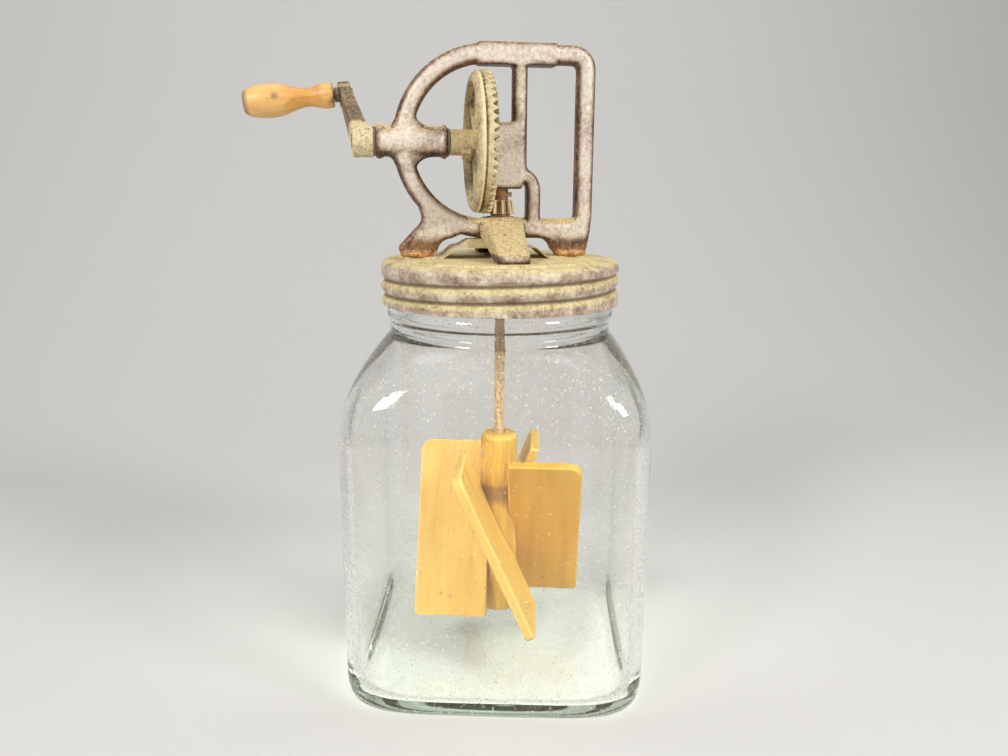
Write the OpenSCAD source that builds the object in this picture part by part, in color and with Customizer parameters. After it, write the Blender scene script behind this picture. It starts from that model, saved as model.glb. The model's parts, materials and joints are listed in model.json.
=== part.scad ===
// Glass jar butter churn: a square jar with a screw lid, a cast gear frame with
// a crank, and a four-bladed wooden dasher. Millimetres, +Z up.
// The origin is the middle of the jar's base, and the crank shaft lies along X.

/* [Jar] */
// Width of the square jar across its flat sides
jar_w = 178; // [160:1:200]
// Thickness of the jar's walls
jar_wall = 5; // [4:0.5:7]
// Thickness of the jar's floor
jar_floor = 8; // [6:0.5:12]
// How square the body is, 2 is round and higher is squarer
jar_squareness = 8; // [6:0.5:10]
// How far the base is drawn in at the heel
heel_inset = 7.5; // [4:0.5:12]
// Height of the rounded heel
heel_h = 20; // [14:1:30]
// Height at which the shoulder starts
shoulder_z = 160; // [150:1:170]
// Height at which the shoulder meets the neck
neck_z = 216; // [210:1:220]
// Height of the neck from the shoulder to the rim
neck_h = 40; // [38:0.5:44]
// Turn of the square body under the tightened lid
jar_turn = -11.4; // [-45:0.1:45]

/* [Screw thread] */
// Diameter of the neck at the root of its thread
thread_root_d = 136.6; // [132:0.2:140]
// Height of the glass thread above its root
thread_h = 1.7; // [1.2:0.1:1.8]
// Rise of the thread in one turn
thread_pitch = 9; // [8:0.25:10]
// Length of the glass thread in turns
thread_turns = 1.25; // [1:0.05:1.4]
// Gap between the neck's root and the lid's grooves
thread_gap = 0.8; // [0.7:0.05:1]

/* [Lid] */
// Thickness of the lid's sheet
lid_sheet = 1; // [0.7:0.1:1.2]
// Height of the lid's skirt
lid_skirt_h = 25.7; // [24:0.1:27]
// Depth of the lid's rolled grooves
lid_groove = 2.2; // [2:0.1:2.6]
// Rise of the lid's middle panel
panel_rise = 1.1; // [0.6:0.1:1.6]
// Diameter of the lid's middle panel
panel_d = 118; // [116:1:122]
// Thickness of the sealing ring
gasket_t = 2.4; // [1.5:0.1:3]

/* [Drip plate] */
// Thickness of the drip plate's sheet
plate_sheet = 0.8; // [0.6:0.1:1.2]
// Depth of the drip plate from front to rear
plate_depth = 30; // [26:0.5:34]
// Height of its raised middle above the lid
plate_rise = 7.2; // [6:0.1:8]
// Length of its raised middle
plate_top_w = 45; // [40:0.5:48]
// Height of the hump in that middle above the lid
hump_rise = 11.2; // [9:0.1:11.3]

/* [Gear frame] */
// Height of the crank shaft above the lid's panel
shaft_rise = 67; // [66:0.5:72]
// Radius of the frame's round side, at the middle of the bar
ring_r = 50; // [49:0.5:54]
// Distance of that round side's centre from the rod
ring_x = 8; // [6:0.5:12]
// Width of the frame's bars
bar_w = 10.8; // [9:0.1:12]
// Depth of the frame's bars from front to rear
bar_t = 12; // [10:0.5:14]
// Rounding of the bars' edges
bar_round = 5; // [3:0.25:5.25]
// Distance of the upright right bar from the rod
right_x = 50.7; // [46:0.5:56]
// Radius of the frame's right corners at the middle of the bar
corner_r = 8; // [7:0.5:12]
// Length of the long shaft bearing
bearing_len = 41; // [36:0.5:46]
// Diameter of the long shaft bearing
bearing_d = 16.5; // [15:0.5:19]
// Width of the bearing block over the pinion
block_w = 20; // [18:0.5:22]
// Height of the bearing block
block_h = 37.5; // [34:0.5:40]
// Depth of the bearing block from front to rear
block_t = 12.8; // [12.4:0.2:15]
// Distance of the left foot's screw from the edge of the lid's middle panel
foot_edge = 8.5; // [6:0.5:13]
// Distance of the right foot from the rod
foot_right = 43.2; // [40:0.5:48]
// Diameter of the pads under the two side feet
foot_pad_d = 19.5; // [17:0.5:21]
// Distance of the front and rear legs' screws from the rod
leg_reach = 44; // [42:0.5:47]

/* [Crank] */
// Diameter of the crank shaft
shaft_d = 8; // [7:0.25:9]
// Radius of the crank
crank_r = 68; // [60:1:80]
// Lift of the crank arm above the level, pointing to the rear
crank_lift = 27; // [0:0.1:90]
// Diameter of the crank's hub
crank_hub_d = 17.8; // [16:0.2:20]
// Length of the crank's hub
crank_hub_len = 11.5; // [10:0.5:14]
// Outward lean of the crank arm from its hub to its outer end
crank_lean = 10.2; // [8:0.2:14]
// Thickness of the crank arm at its outer end
crank_tip_t = 7.5; // [6:0.5:9]
// Diameter of the crank arm's outer end
crank_tip_d = 15.2; // [13:0.2:17]

/* [Handle] */
// Length of the wooden grip
grip_len = 56; // [50:1:70]
// Greatest diameter of the grip
grip_d = 21; // [18:0.5:26]
// Diameter of the grip's waist
grip_waist_d = 11.4; // [10.5:0.2:13]
// Diameter of the grip's flared end
grip_flare_d = 16; // [14:0.5:18]
// Diameter of the spindle that the grip turns on
spindle_d = 5; // [4.5:0.1:5.5]
// Droop of the worn spindle's outer end
spindle_droop = 6; // [0:0.5:8]

/* [Gears] */
// Tooth size at the wide ends, pitch diameter over number of teeth
gear_module = 1.64; // [1.58:0.01:1.66]
// Number of teeth on the drive gear
gear_teeth = 50; // [50:10:50]
// Number of teeth on the pinion
pinion_teeth = 10; // [10:1:10]
// Length of the teeth
tooth_face = 8; // [7:0.25:9]
// Free play between the teeth
tooth_play = 0.7; // [0.6:0.05:0.9]
// Diameter of the pinion's plain hub
pinion_hub_d = 9.2; // [8.8:0.1:9.8]
// Height of the pinion's plain hub
pinion_hub_h = 6.5; // [5:0.25:8]

/* [Dasher] */
// Diameter of the dasher's rod
rod_d = 6.2; // [5.5:0.1:6.6]
// Height of the blades' middle above the jar's base
dasher_z = 84; // [82:0.5:88]
// Diameter of the wooden hub
hub_d = 23; // [20:0.5:26]
// Length of the wooden hub
hub_len = 118; // [114:1:124]
// Height of the hub's middle above the blades' middle
hub_rise = 5.5; // [4:0.5:6]
// Reach of the blades from the middle of the rod
blade_r = 53; // [46:0.5:55]
// Height of the blades along their slope
blade_h = 113; // [100:1:116]
// Thickness of the blades
blade_t = 6; // [5:0.25:7]
// Slope of the blades
blade_tilt = 24; // [15:0.5:26]
// Rounding of the blades' upper outer corners
blade_round = 8; // [4:0.5:12]
// Rounding of the blades' lower outer corners
blade_low_round = 3.5; // [2:0.5:8]
// Turn of the first blade from the +X direction
dasher_turn = -102; // [-180:1:180]

/* [Fasteners] */
// Diameter of the screws under the feet
screw_d = 5; // [4:0.25:5.5]
// Length of thread that the screws hold in the casting
screw_grip = 5; // [4.5:0.25:5.5]
// Diameter of the small cross pins
pin_d = 2.6; // [2:0.1:3]

/* [Clearances] */
// Running clearance all round a shaft in its bearing
run_gap = 0.08; // [0.05:0.01:0.1]
// Gap between flat faces that turn past each other
end_gap = 0.3; // [0.2:0.05:0.4]
// Gap all round a fastener or tenon in its hole
seat_gap = 0.06; // [0.04:0.01:0.1]

/* [Hidden] */

// Facets: round parts, and the points round the jar and the lid
$fn = 64;
around = 48;

// Heights that follow from the jar and the lid
rim_z = neck_z + neck_h;
gasket_z = rim_z;
lid_top_z = rim_z + gasket_t + lid_sheet;
lid_low_z = lid_top_z - lid_skirt_h;
panel_z = lid_top_z + panel_rise;
panel_under_z = panel_z - lid_sheet;
shaft_z = panel_z + shaft_rise;
base_z = shaft_z - ring_r;
top_z = shaft_z + ring_r;

// Jar profile
neck_step = 1;
neck_bead_rise = 1.7;
neck_r = thread_root_d / 2 - neck_step;
neck_bead_r = neck_r + neck_bead_rise;
neck_bead_drop = 1.6;
neck_bead_h = 9;
mouth_r = neck_r - jar_wall;
rim_round = 1.5;
shoulder_power = 2.3;
shoulder_shape_power = 1.6;
shoulder_steps = 8;
heel_power = 2.5;
heel_rise_power = 1.8;
heel_squareness = 5;
heel_steps = 4;

// Thread: its height at angle 0, and where the glass ridge starts and ends in turns
thread_lead = 5.45;
thread_zero_z = lid_low_z + thread_lead;
thread_first = -0.3;
thread_last = thread_first + thread_turns;
thread_half_w = 2.6;
thread_fade = 0.08;
thread_step = 1.5;

// Lid profile: bead and groove radii outside, the open rim, the top band
lid_groove_r = thread_root_d / 2 + thread_gap + lid_sheet;
lid_bead_r = lid_groove_r + lid_groove;
lid_rim_r = thread_root_d / 2 + thread_h + thread_gap + lid_sheet;
lid_edge_round = 4.2;
lid_band_h = 8;
lid_blend_h = 2.5;
bead_power = 0.6;
lid_rim_h = 2;

// Gears: pitch radii, tooth heights and the taper towards the crossing of the axes
gear_r = gear_module * gear_teeth / 2;
pinion_r = gear_module * pinion_teeth / 2;
tooth_pitch = PI * gear_module;
pressure = 25;
gear_tip = 0.72 * gear_module;
pinion_tip = 0.8 * gear_module;
tooth_bottom_gap = 0.3 * gear_module;
gear_root = pinion_tip + tooth_bottom_gap;
pinion_root = gear_tip + tooth_bottom_gap;
taper = 1 - tooth_face / gear_r;
pinion_low_z = shaft_z - gear_r;
pinion_collar_h = 1.3;
pinion_collar_step = 0.6;
pinion_collar_r = pinion_r - pinion_root - pinion_collar_step;
pinion_sunk = 0.5;
pinion_top_z = pinion_low_z + tooth_face + pinion_hub_h;
pinion_seat_z = pinion_low_z - pinion_collar_h;
gear_rim_step = 0.3;
gear_rim_r = gear_r - gear_rim_step;
gear_depth = 10.3;
gear_back_x = -(pinion_r + gear_depth);
gear_web_inset = 5;
gear_web_x = gear_back_x + gear_web_inset;
gear_web_t = 3;
gear_hub_d = 14.8;
gear_rim_t = 6.2;
gear_ribs = 6;
gear_rib_w = 4;
gear_rib_h = 2.2;

// Crank line along X, from the block to the grip
washer_t = 1;
block_x = -7.6;
block_low_z = pinion_top_z + end_gap;
gear_hub_reach = 12.3;
gear_hub_x0 = gear_back_x - gear_hub_reach;
bearing_x1 = gear_hub_x0 - washer_t - 2 * end_gap;
bearing_x0 = bearing_x1 - bearing_len;
crank_hub_x1 = bearing_x0 - washer_t - 2 * end_gap;
crank_hub_x0 = crank_hub_x1 - crank_hub_len;
crank_tip_x0 = (crank_hub_x0 + crank_hub_x1) / 2 - crank_lean - crank_tip_t / 2;
crank_tip_x1 = crank_tip_x0 + crank_tip_t;
shaft_proud = 0.8;
block_wall = 5;
shaft_x0 = crank_hub_x0 - shaft_proud;
shaft_x1 = block_x + block_w - block_wall;
pin_y = crank_r * cos(crank_lift);
pin_z = shaft_z + crank_r * sin(crank_lift);
spindle_head_h = 2;
spindle_head_lip = 1;
spindle_head_d = spindle_d + 2 * spindle_head_lip;
grip_washer_lip = 1.6;
grip_washer_d = spindle_d + 2 * grip_washer_lip;
grip_recess_d = grip_washer_d + 2 * end_gap;
grip_recess_h = spindle_head_h + washer_t + 2 * end_gap;
grip_tip_edge = 0.9;
grip_tip_d = grip_recess_d + 2 * grip_tip_edge;
collar_h = 3;
collar_lip = 2;
collar_d = spindle_d + 2 * collar_lip;
rivet_h = 1.6;
rivet_lip = 1.5;
rivet_d = spindle_d + 2 * rivet_lip;
grip_x1 = crank_tip_x0 - collar_h - end_gap;
grip_x0 = grip_x1 - grip_len;
grip_washer_x = grip_x0 + grip_recess_h - end_gap - washer_t;

// Frame details
foot_z = panel_z + plate_sheet;
foot_t = bar_t - 1;
foot_pad_h = 3.4;
foot_sunk = 1;
base_boss_d = 22;
rod_washer_z = pinion_seat_z - end_gap - washer_t;
rod_shaft_gap = 3.6;
rod_top_z = shaft_z - shaft_d / 2 - rod_shaft_gap;
post_w = 8.2;
post_x = 11;
low_post_x = 19.6;
name_plate_w = 46;
name_plate_x = 9;
name_plate_h = 12;
name_plate_t = 12.8;
name_plate_proud = 0.3;
foot_left = panel_d / 2 - foot_edge;
leg_top_w = 25;
leg_toe_w = 18.5;
leg_toe_len = 6.5;
leg_toe_y = leg_reach + leg_toe_len;
leg_toe_h = 5.6;

// Drip plate
plate_joggle = 10.5;
plate_tongue_w = 16;
plate_x = -4.8;
hump_slope = 7;
hump_foot_depth = 26;

// Dasher
hub_z0 = dasher_z + hub_rise - hub_len / 2;
hub_z1 = hub_z0 + hub_len;
rod_in_hub = 70;
rod_z0 = hub_z1 - rod_in_hub;
blade_inner = 6.5;
hub_pin_drop = 14;
hub_pin_z = hub_z1 - hub_pin_drop;
hub_pin_turn = 24;
hub_pin_proud = 0.4;
ferrule_d = 14;
ferrule_flange_d = 20;
ferrule_h = 9;

// Colours
glass_c = [0.80, 0.86, 0.82, 0.35];
tin_c = [0.66, 0.60, 0.46];
iron_c = [0.52, 0.47, 0.40];
gear_c = [0.62, 0.55, 0.40];
steel_c = [0.55, 0.53, 0.50];
rust_c = [0.58, 0.38, 0.22];
wood_c = [0.86, 0.66, 0.32];
grip_c = [0.80, 0.48, 0.18];
rubber_c = [0.34, 0.22, 0.18];

// A point of a rounded square of half width w, where n sets how square it is
function square_r(w, n, a) = w * pow(pow(abs(cos(a)), n) + pow(abs(sin(a)), n), -1 / n);
function ramp(x) = let (t = min(1, max(0, x))) t * t * (3 - 2 * t);
function mix(a, b, t) = a + (b - a) * t;

// A ring of points at height z, where the radius is a function of the angle
function ring_at(z, radii, turn = 0) =
    [for (i = [0 : around - 1]) let (a = i * 360 / around + turn)
        [radii[i] * cos(a), radii[i] * sin(a), z]];
function square_ring(z, w, n) =
    ring_at(z, [for (i = [0 : around - 1]) square_r(w, n, i * 360 / around)], jar_turn);
function round_ring(z, r, turn = 0) = ring_at(z, [for (i = [0 : around - 1]) r], turn);

// Height of the thread's middle line after a number of turns, and the glass ridge there
function thread_z(turns) = thread_zero_z + thread_pitch * turns;
function ridge(z, a) = max([for (k = [-1 : 2])
    let (t = a / 360 + k,
         ends = ramp((t - thread_first) / thread_fade) * ramp((thread_last - t) / thread_fade),
         d = (z - thread_z(t)) / thread_half_w)
    ends * max(0, 1 - d * d)]);
function thread_ring(z) =
    ring_at(z, [for (i = [0 : around - 1])
        thread_root_d / 2 + thread_h * ridge(z, i * 360 / around + jar_turn)], jar_turn);

// The lid's outside radius: helical beads between a plain top band and an open rim
function bead(z, a) = pow(0.5 + 0.5 * cos(360 * (z - thread_z(a / 360)) / thread_pitch), bead_power);
function lid_r(z, a) =
    let (beads = mix(lid_groove_r, lid_bead_r, bead(z, a)),
         top = ramp((z - (lid_top_z - lid_band_h)) / lid_blend_h),
         rim = ramp((lid_low_z + lid_rim_h + lid_blend_h - z) / lid_blend_h))
    mix(mix(beads, lid_bead_r, top), lid_rim_r, rim);
function lid_ring(z, wall) =
    ring_at(z, [for (i = [0 : around - 1]) lid_r(z, i * 360 / around) - wall]);

// A closed skin over a list of rings, flat at both ends
module skin(rings) {
    count = len(rings);
    points = [for (ring = rings) each ring];
    sides = [for (j = [0 : count - 2], i = [0 : around - 1])
        let (k = (i + 1) % around,
             p = j * around + i, q = j * around + k,
             r = (j + 1) * around + k, s = (j + 1) * around + i)
        each [[p, r, q], [p, s, r]]];
    first = [for (i = [0 : around - 1]) i];
    last = [for (i = [around - 1 : -1 : 0]) (count - 1) * around + i];
    polyhedron(points, concat(sides, [first, last]));
}

// Heel, wall, shoulder and neck of the jar, for a skin that lies deep inside the outside
function jar_heel(deep, low) = [for (i = [0 : heel_steps])
    let (t = i / heel_steps,
         w = jar_w / 2 - deep - heel_inset * pow(1 - t, heel_power))
    square_ring(mix(low, heel_h + low, pow(t, heel_rise_power)), w,
                mix(heel_squareness, jar_squareness, t))];
function jar_shoulder(deep) = [for (i = [0 : shoulder_steps])
    let (t = i / shoulder_steps,
         w = mix(jar_w / 2, neck_r, pow(t, shoulder_power)) - deep)
    square_ring(mix(shoulder_z, neck_z, t), w, mix(jar_squareness, 2, pow(t, shoulder_shape_power)))];
function backwards(list) = [for (i = [len(list) - 1 : -1 : 0]) list[i]];

module glass_jar() {
    bead_z0 = lid_low_z - neck_bead_drop - neck_bead_h;
    bead_rings = [for (t = [0 : 0.25 : 1])
        round_ring(bead_z0 + t * neck_bead_h, mix(neck_r, neck_bead_r, sin(180 * t)), jar_turn)];
    thread_low = bead_z0 + neck_bead_h + 0.8 * thread_step;
    thread_rings = [for (z = [thread_low : thread_step : rim_z - 2 * rim_round]) thread_ring(z)];
    outside = concat(jar_heel(0, 0), jar_shoulder(0), bead_rings, thread_rings,
        [round_ring(rim_z - rim_round, neck_r, jar_turn), round_ring(rim_z, neck_r - rim_round, jar_turn)]);
    inside = concat(
        [round_ring(rim_z, mouth_r + rim_round, jar_turn), round_ring(rim_z - rim_round, mouth_r, jar_turn)],
        backwards(jar_shoulder(jar_wall)), backwards(jar_heel(jar_wall, jar_floor)));
    color(glass_c) skin(concat(outside, inside));
}

module lid_gasket() {
    inner = mouth_r + rim_round / 2;
    color(rubber_c) translate([0, 0, gasket_z]) rotate_extrude()
        translate([inner, 0]) square([neck_r - inner, gasket_t]);
}

// Places of the four screws that hold the frame, with the height of what they clamp
function screw_places() = [[-foot_left, 0, foot_z], [foot_right, 0, foot_z],
                           [0, -leg_reach, panel_z], [0, leg_reach, panel_z]];

module screw_lid() {
    skirt = [for (z = [lid_low_z : thread_step : lid_top_z - lid_edge_round]) z];
    outer = [for (z = skirt) lid_ring(z, 0)];
    inner = [for (z = skirt) lid_ring(z, lid_sheet)];
    edge = [for (a = [0 : 30 : 90])
        round_ring(lid_top_z - lid_edge_round * (1 - sin(a)), lid_bead_r - lid_edge_round * (1 - cos(a)))];
    inner_round = lid_edge_round - lid_sheet;
    inner_edge = [for (a = [0 : 45 : 90])
        round_ring(lid_top_z - lid_sheet - inner_round * (1 - sin(a)),
                   lid_bead_r - lid_sheet - inner_round * (1 - cos(a)))];
    panel_slope = 0.4;
    step = panel_rise + panel_slope;
    drill = 5;
    panel = [round_ring(lid_top_z, panel_d / 2 + step), round_ring(panel_z, panel_d / 2)];
    panel_under = [round_ring(lid_top_z - lid_sheet, panel_d / 2 + step - lid_sheet / 2),
                   round_ring(panel_under_z, panel_d / 2 - lid_sheet / 2)];
    color(tin_c) difference() {
        skin(concat(backwards(panel_under), backwards(inner_edge), backwards(inner), outer, edge, panel));
        translate([0, 0, panel_under_z - drill]) cylinder(d = ferrule_d + 2 * seat_gap, h = 2 * drill);
        for (p = screw_places())
            translate([p[0], p[1], panel_under_z - drill])
                cylinder(d = screw_d + 2 * seat_gap, h = 2 * drill);
    }
}

// Hump in the drip plate's middle: sloped on all sides, and smaller by a wall for its hollow
module plate_hump(wall) {
    leaf = 0.1;
    foot_z = plate_rise - plate_sheet - wall;
    top_z = hump_rise - wall;
    hull() for (side = [[0, foot_z], [hump_slope, top_z - leaf]]) {
        w = plate_top_w - 2 * (side[0] + wall);
        d = hump_foot_depth - 2 * (side[0] + wall);
        translate([plate_x - w / 2, -d / 2, side[1]]) cube([w, d, leaf]);
    }
}

// A sheet with a raised middle, bent down to the lid and held under the two side feet
module drip_plate() {
    x0 = plate_x - plate_top_w / 2;
    x1 = plate_x + plate_top_w / 2;
    left = -foot_left - plate_tongue_w / 2;
    right = foot_right + plate_tongue_w / 2;
    rise = plate_rise - plate_sheet;
    broad = plate_top_w + 2 * plate_joggle;
    bend_steps = 10;
    rod_room = 2;
    bend = [for (i = [0 : bend_steps]) let (t = i / bend_steps) [plate_joggle * t, rise * ramp(t)]];
    lower = concat([[left, 0]], [for (p = bend) [x0 - plate_joggle + p[0], p[1]]],
                   [for (p = backwards(bend)) [x1 + plate_joggle - p[0], p[1]]], [[right, 0]]);
    upper = [for (p = backwards(lower)) p + [0, plate_sheet]];
    color(tin_c) translate([0, 0, panel_z]) difference() {
        union() {
            intersection() {
                rotate([90, 0, 0]) linear_extrude(plate_depth, center = true) polygon(concat(lower, upper));
                union() {
                    translate([x0 - plate_joggle, -plate_depth / 2, 0])
                        cube([broad, plate_depth, plate_rise]);
                    translate([left, -plate_tongue_w / 2, 0])
                        cube([right - left, plate_tongue_w, plate_rise]);
                }
            }
            plate_hump(0);
        }
        plate_hump(plate_sheet);
        translate([0, 0, plate_rise]) cylinder(d = rod_d + 2 * rod_room, h = hump_rise);
        for (x = [-foot_left, foot_right])
            translate([x, 0, -1]) cylinder(d = screw_d + 2 * seat_gap, h = plate_rise);
    }
}

// Section of a cast bar: a rectangle with rounded edges
module bar_section(w, t) {
    flat = 0.4;
    r = min(bar_round, w / 2 - flat, t / 2 - flat);
    square([w - 2 * r, t], center = true);
    square([w, t - 2 * r], center = true);
    for (x = [-1, 1], y = [-1, 1]) translate([x * (w / 2 - r), y * (t / 2 - r)]) circle(r);
}
module bar_along_x(x0, x1, z, w = bar_w) {
    translate([x0, 0, z]) rotate([90, 0, 90]) linear_extrude(x1 - x0) rotate(90) bar_section(w, bar_t);
}
module bar_along_z(x, z0, z1, w = bar_w) {
    translate([x, 0, z0]) linear_extrude(z1 - z0) bar_section(w, bar_t);
}
module bar_arc(x, z, r, from, angle, w = bar_w) {
    translate([x, 0, z]) rotate([90, 0, 0]) rotate([0, 0, from])
        rotate_extrude(angle = angle) translate([r, 0]) bar_section(w, bar_t);
}
// A flat outline in X and Z, given its depth from front to rear
module upright(t) {
    rotate([90, 0, 0]) linear_extrude(t, center = true) children();
}
module along_x(x0, x1, d) {
    translate([x0, 0, shaft_z]) rotate([0, 90, 0]) cylinder(d = d, h = x1 - x0);
}
// Points of a round stretch of an outline
function arc(x, z, r, a0, a1, steps = 8) =
    [for (i = [0 : steps]) let (a = mix(a0, a1, i / steps)) [x + r * cos(a), z + r * sin(a)]];

// Left foot: a toe that flares out of the frame's round side, with a hollow between the two
module left_foot() {
    pad_z = foot_z + foot_pad_h;
    rise = base_z - bar_w / 2 - pad_z;
    toe_r = 2.6;
    toe_x = -foot_left - foot_pad_d / 2 - foot_sunk;
    heel_x = -foot_left + foot_pad_d / 2 - foot_sunk;
    // Where the foot leaves the round side, and the hollow's radius and place
    ring_a = 222;
    side_r = ring_r + bar_w / 2;
    side_x = -ring_x + side_r * cos(ring_a);
    side_z = shaft_z + side_r * sin(ring_a);
    hollow_r = 7;
    hollow_gap = 8;
    hollow_a = 51;
    arch_gap = 4;
    upright(foot_t) polygon(concat(
        [[-ring_x + ring_r * cos(ring_a), shaft_z + ring_r * sin(ring_a)]],
        arc(side_x - hollow_gap * cos(hollow_a), side_z - hollow_gap * sin(hollow_a), hollow_r, 40, -58),
        arc(toe_x + toe_r, pad_z + toe_r / 2, toe_r, 120, 215),
        [[heel_x, pad_z - foot_sunk]],
        arc(heel_x + rise + arch_gap, pad_z - foot_sunk, rise + foot_sunk, 174, 90),
        [[-ring_x - bar_w, base_z]]));
}
// Right foot: the lower right corner of the frame, drawn down and in to a pad
module right_foot() {
    pad_z = foot_z + foot_pad_h;
    rise = base_z - bar_w / 2 - pad_z;
    toe_x = foot_right + foot_pad_d / 2 - foot_sunk / 2;
    heel_x = foot_right - foot_pad_d / 2 + foot_sunk;
    side_in = 0.7;
    side_x = right_x + bar_w / 2 - side_in;
    side_steps = 6;
    arch_gap = 4;
    upright(foot_t) polygon(concat(
        [for (i = [0 : side_steps]) let (t = i / side_steps)
            [mix(side_x, toe_x, t * t), mix(base_z + bar_w, pad_z, t)]],
        [[toe_x - foot_sunk / 2, pad_z - foot_sunk], [heel_x, pad_z - foot_sunk]],
        arc(heel_x - rise - arch_gap, pad_z - foot_sunk, rise + foot_sunk, 6, 90),
        [[right_x - 2 * bar_w, base_z], [right_x - bar_w / 2, base_z]]));
}

// Front or rear leg: a broad tongue from the base bar down to a blunt toe on the lid
module leg() {
    top = base_z + bar_w / 2;
    low = base_z - bar_w / 2;
    toe_edge = 1.4;
    crown = 0.8;
    sole = 7.5;
    arch_h = 6.4;
    front = -bar_t / 2;
    toe_top = panel_z + leg_toe_h;
    waist = 0.75;
    waist_y = -waist * leg_toe_y;
    color(iron_c) intersection() {
        rotate([90, 0, 90]) linear_extrude(leg_top_w, center = true) polygon([
            [0, top], [front, top],
            [mix(front, -leg_toe_y, 0.5), mix(top, toe_top, 0.5) + crown],
            [-leg_toe_y + toe_edge, toe_top], [-leg_toe_y, toe_top - toe_edge],
            [-leg_toe_y, panel_z], [-leg_reach + sole, panel_z],
            [mix(front, -leg_reach + sole, 0.5), panel_z + arch_h], [front, low], [0, low]]);
        translate([0, 0, panel_z]) linear_extrude(ring_r) polygon([
            [-leg_top_w / 2, 0], [-leg_top_w / 2, front],
            [-leg_toe_w / 2, waist_y], [-leg_toe_w / 2, -leg_toe_y],
            [leg_toe_w / 2, -leg_toe_y], [leg_toe_w / 2, waist_y],
            [leg_top_w / 2, front], [leg_top_w / 2, 0]]);
    }
}

module frame_bars() {
    right_turn_x = right_x - corner_r;
    bar_arc(-ring_x, shaft_z, ring_r, 90, 180);
    bar_along_x(-ring_x, right_turn_x, top_z);
    bar_arc(right_turn_x, top_z - corner_r, corner_r, 0, 90);
    bar_along_z(right_x, base_z + corner_r, top_z - corner_r);
    bar_arc(right_turn_x, base_z + corner_r, corner_r, 270, 90);
    bar_along_x(-ring_x, right_turn_x, base_z);
}

// Fillets where the frame's round side meets the long bearing, larger inside than outside
module bearing_fillets() {
    inside_r = 11;
    outside_r = 4;
    edge = bearing_d / 2;
    sunk = 2;
    inside_x = -ring_x - sqrt(pow(ring_r - bar_w / 2, 2) - edge * edge);
    outside_x = -ring_x - sqrt(pow(ring_r + bar_w / 2, 2) - edge * edge);
    for (flip = [0, 1]) translate([0, 0, shaft_z]) mirror([0, 0, flip]) upright(bar_t - bar_round) {
        polygon(concat([[inside_x - sunk, edge - sunk]],
            arc(inside_x + inside_r, edge + inside_r, inside_r, 180, 270),
            [[inside_x + inside_r, edge - sunk]]));
        polygon(concat([[outside_x + sunk, edge - sunk]],
            arc(outside_x - outside_r, edge + outside_r, outside_r, 0, -90),
            [[outside_x - outside_r, edge - sunk]]));
    }
}

// Post from the top bar down beside the bearing block, bent round the pinion to the base bar
module bent_post() {
    bend_rise = 14;
    bend_a = 62;
    turn_a = 0.9 * bend_a;
    lap = 1.5;
    post_r = post_w / 2;
    bend_r = (low_post_x - post_x) / 2 / (1 - cos(bend_a));
    high_z = block_low_z + bend_rise;
    low_z = high_z - 2 * bend_r * sin(bend_a);
    bar_along_z(post_x, high_z - lap, top_z, post_w);
    // The bend's round section is laid up of three flat outlines
    for (share = [0.5, 0.8, 0.985]) {
        half = post_r * share;
        upright(bar_t - 2 * (post_r - sqrt(post_r * post_r - half * half))) polygon(concat(
            arc(post_x + bend_r, high_z, bend_r - half, 180, 180 + turn_a),
            arc(low_post_x - bend_r, low_z, bend_r + half, bend_a, 0),
            arc(low_post_x - bend_r, low_z, bend_r - half, 0, bend_a),
            arc(post_x + bend_r, high_z, bend_r + half, 180 + turn_a, 180)));
    }
    bar_along_z(low_post_x, base_z, low_z + lap, post_w);
}

module cast_frame() {
    flange_step = 1.3;
    outer_flange = 3.6;
    inner_flange = 2.2;
    flange_d = bearing_d + 2 * flange_step;
    plate_low = top_z + bar_w / 2 + name_plate_proud - name_plate_h;
    color(iron_c) difference() {
        union() {
            frame_bars();
            // Plain plate on the top bar
            translate([name_plate_x - name_plate_w / 2, -name_plate_t / 2, plate_low])
                cube([name_plate_w, name_plate_t, name_plate_h]);
            // Post and bearing block
            bent_post();
            translate([block_x, -block_t / 2, block_low_z]) cube([block_w, block_t, block_h]);
            // Long bearing with a flange at each end
            along_x(bearing_x0, bearing_x1, bearing_d);
            along_x(bearing_x0, bearing_x0 + outer_flange, flange_d);
            along_x(bearing_x1 - inner_flange, bearing_x1, flange_d);
            bearing_fillets();
            // Boss under the pinion
            translate([0, 0, base_z - bar_w / 2])
                cylinder(d = base_boss_d, h = rod_washer_z - base_z + bar_w / 2);
            // Feet and legs
            left_foot();
            right_foot();
            for (x = [-foot_left, foot_right])
                translate([x, 0, foot_z]) cylinder(d = foot_pad_d, h = foot_pad_h);
            leg();
            mirror([0, 1, 0]) leg();
        }
        along_x(bearing_x0 - 1, shaft_x1 + end_gap, shaft_d + 2 * run_gap);
        translate([0, 0, base_z - bar_w])
            cylinder(d = rod_d + 2 * run_gap, h = rod_top_z + end_gap - base_z + bar_w);
        for (p = screw_places())
            translate([p[0], p[1], p[2] - 1])
                cylinder(d = screw_d + 2 * seat_gap, h = screw_grip + end_gap + 1);
    }
}

// Screws from under the lid: a shallow head with a slot, and a shank up into the casting
module frame_screws() {
    head_lip = 2;
    head_d = screw_d + 2 * head_lip;
    head_h = 2.6;
    slot_w = 1.2;
    slot_h = 1;
    color(steel_c) for (p = screw_places()) translate([p[0], p[1], panel_under_z - washer_t]) difference() {
        union() {
            translate([0, 0, -head_h]) cylinder(d = head_d, h = head_h);
            cylinder(d = screw_d, h = p[2] + screw_grip - panel_under_z + washer_t);
        }
        translate([-head_d, -slot_w / 2, -head_h - 1]) cube([2 * head_d, slot_w, 1 + slot_h]);
    }
}

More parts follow.
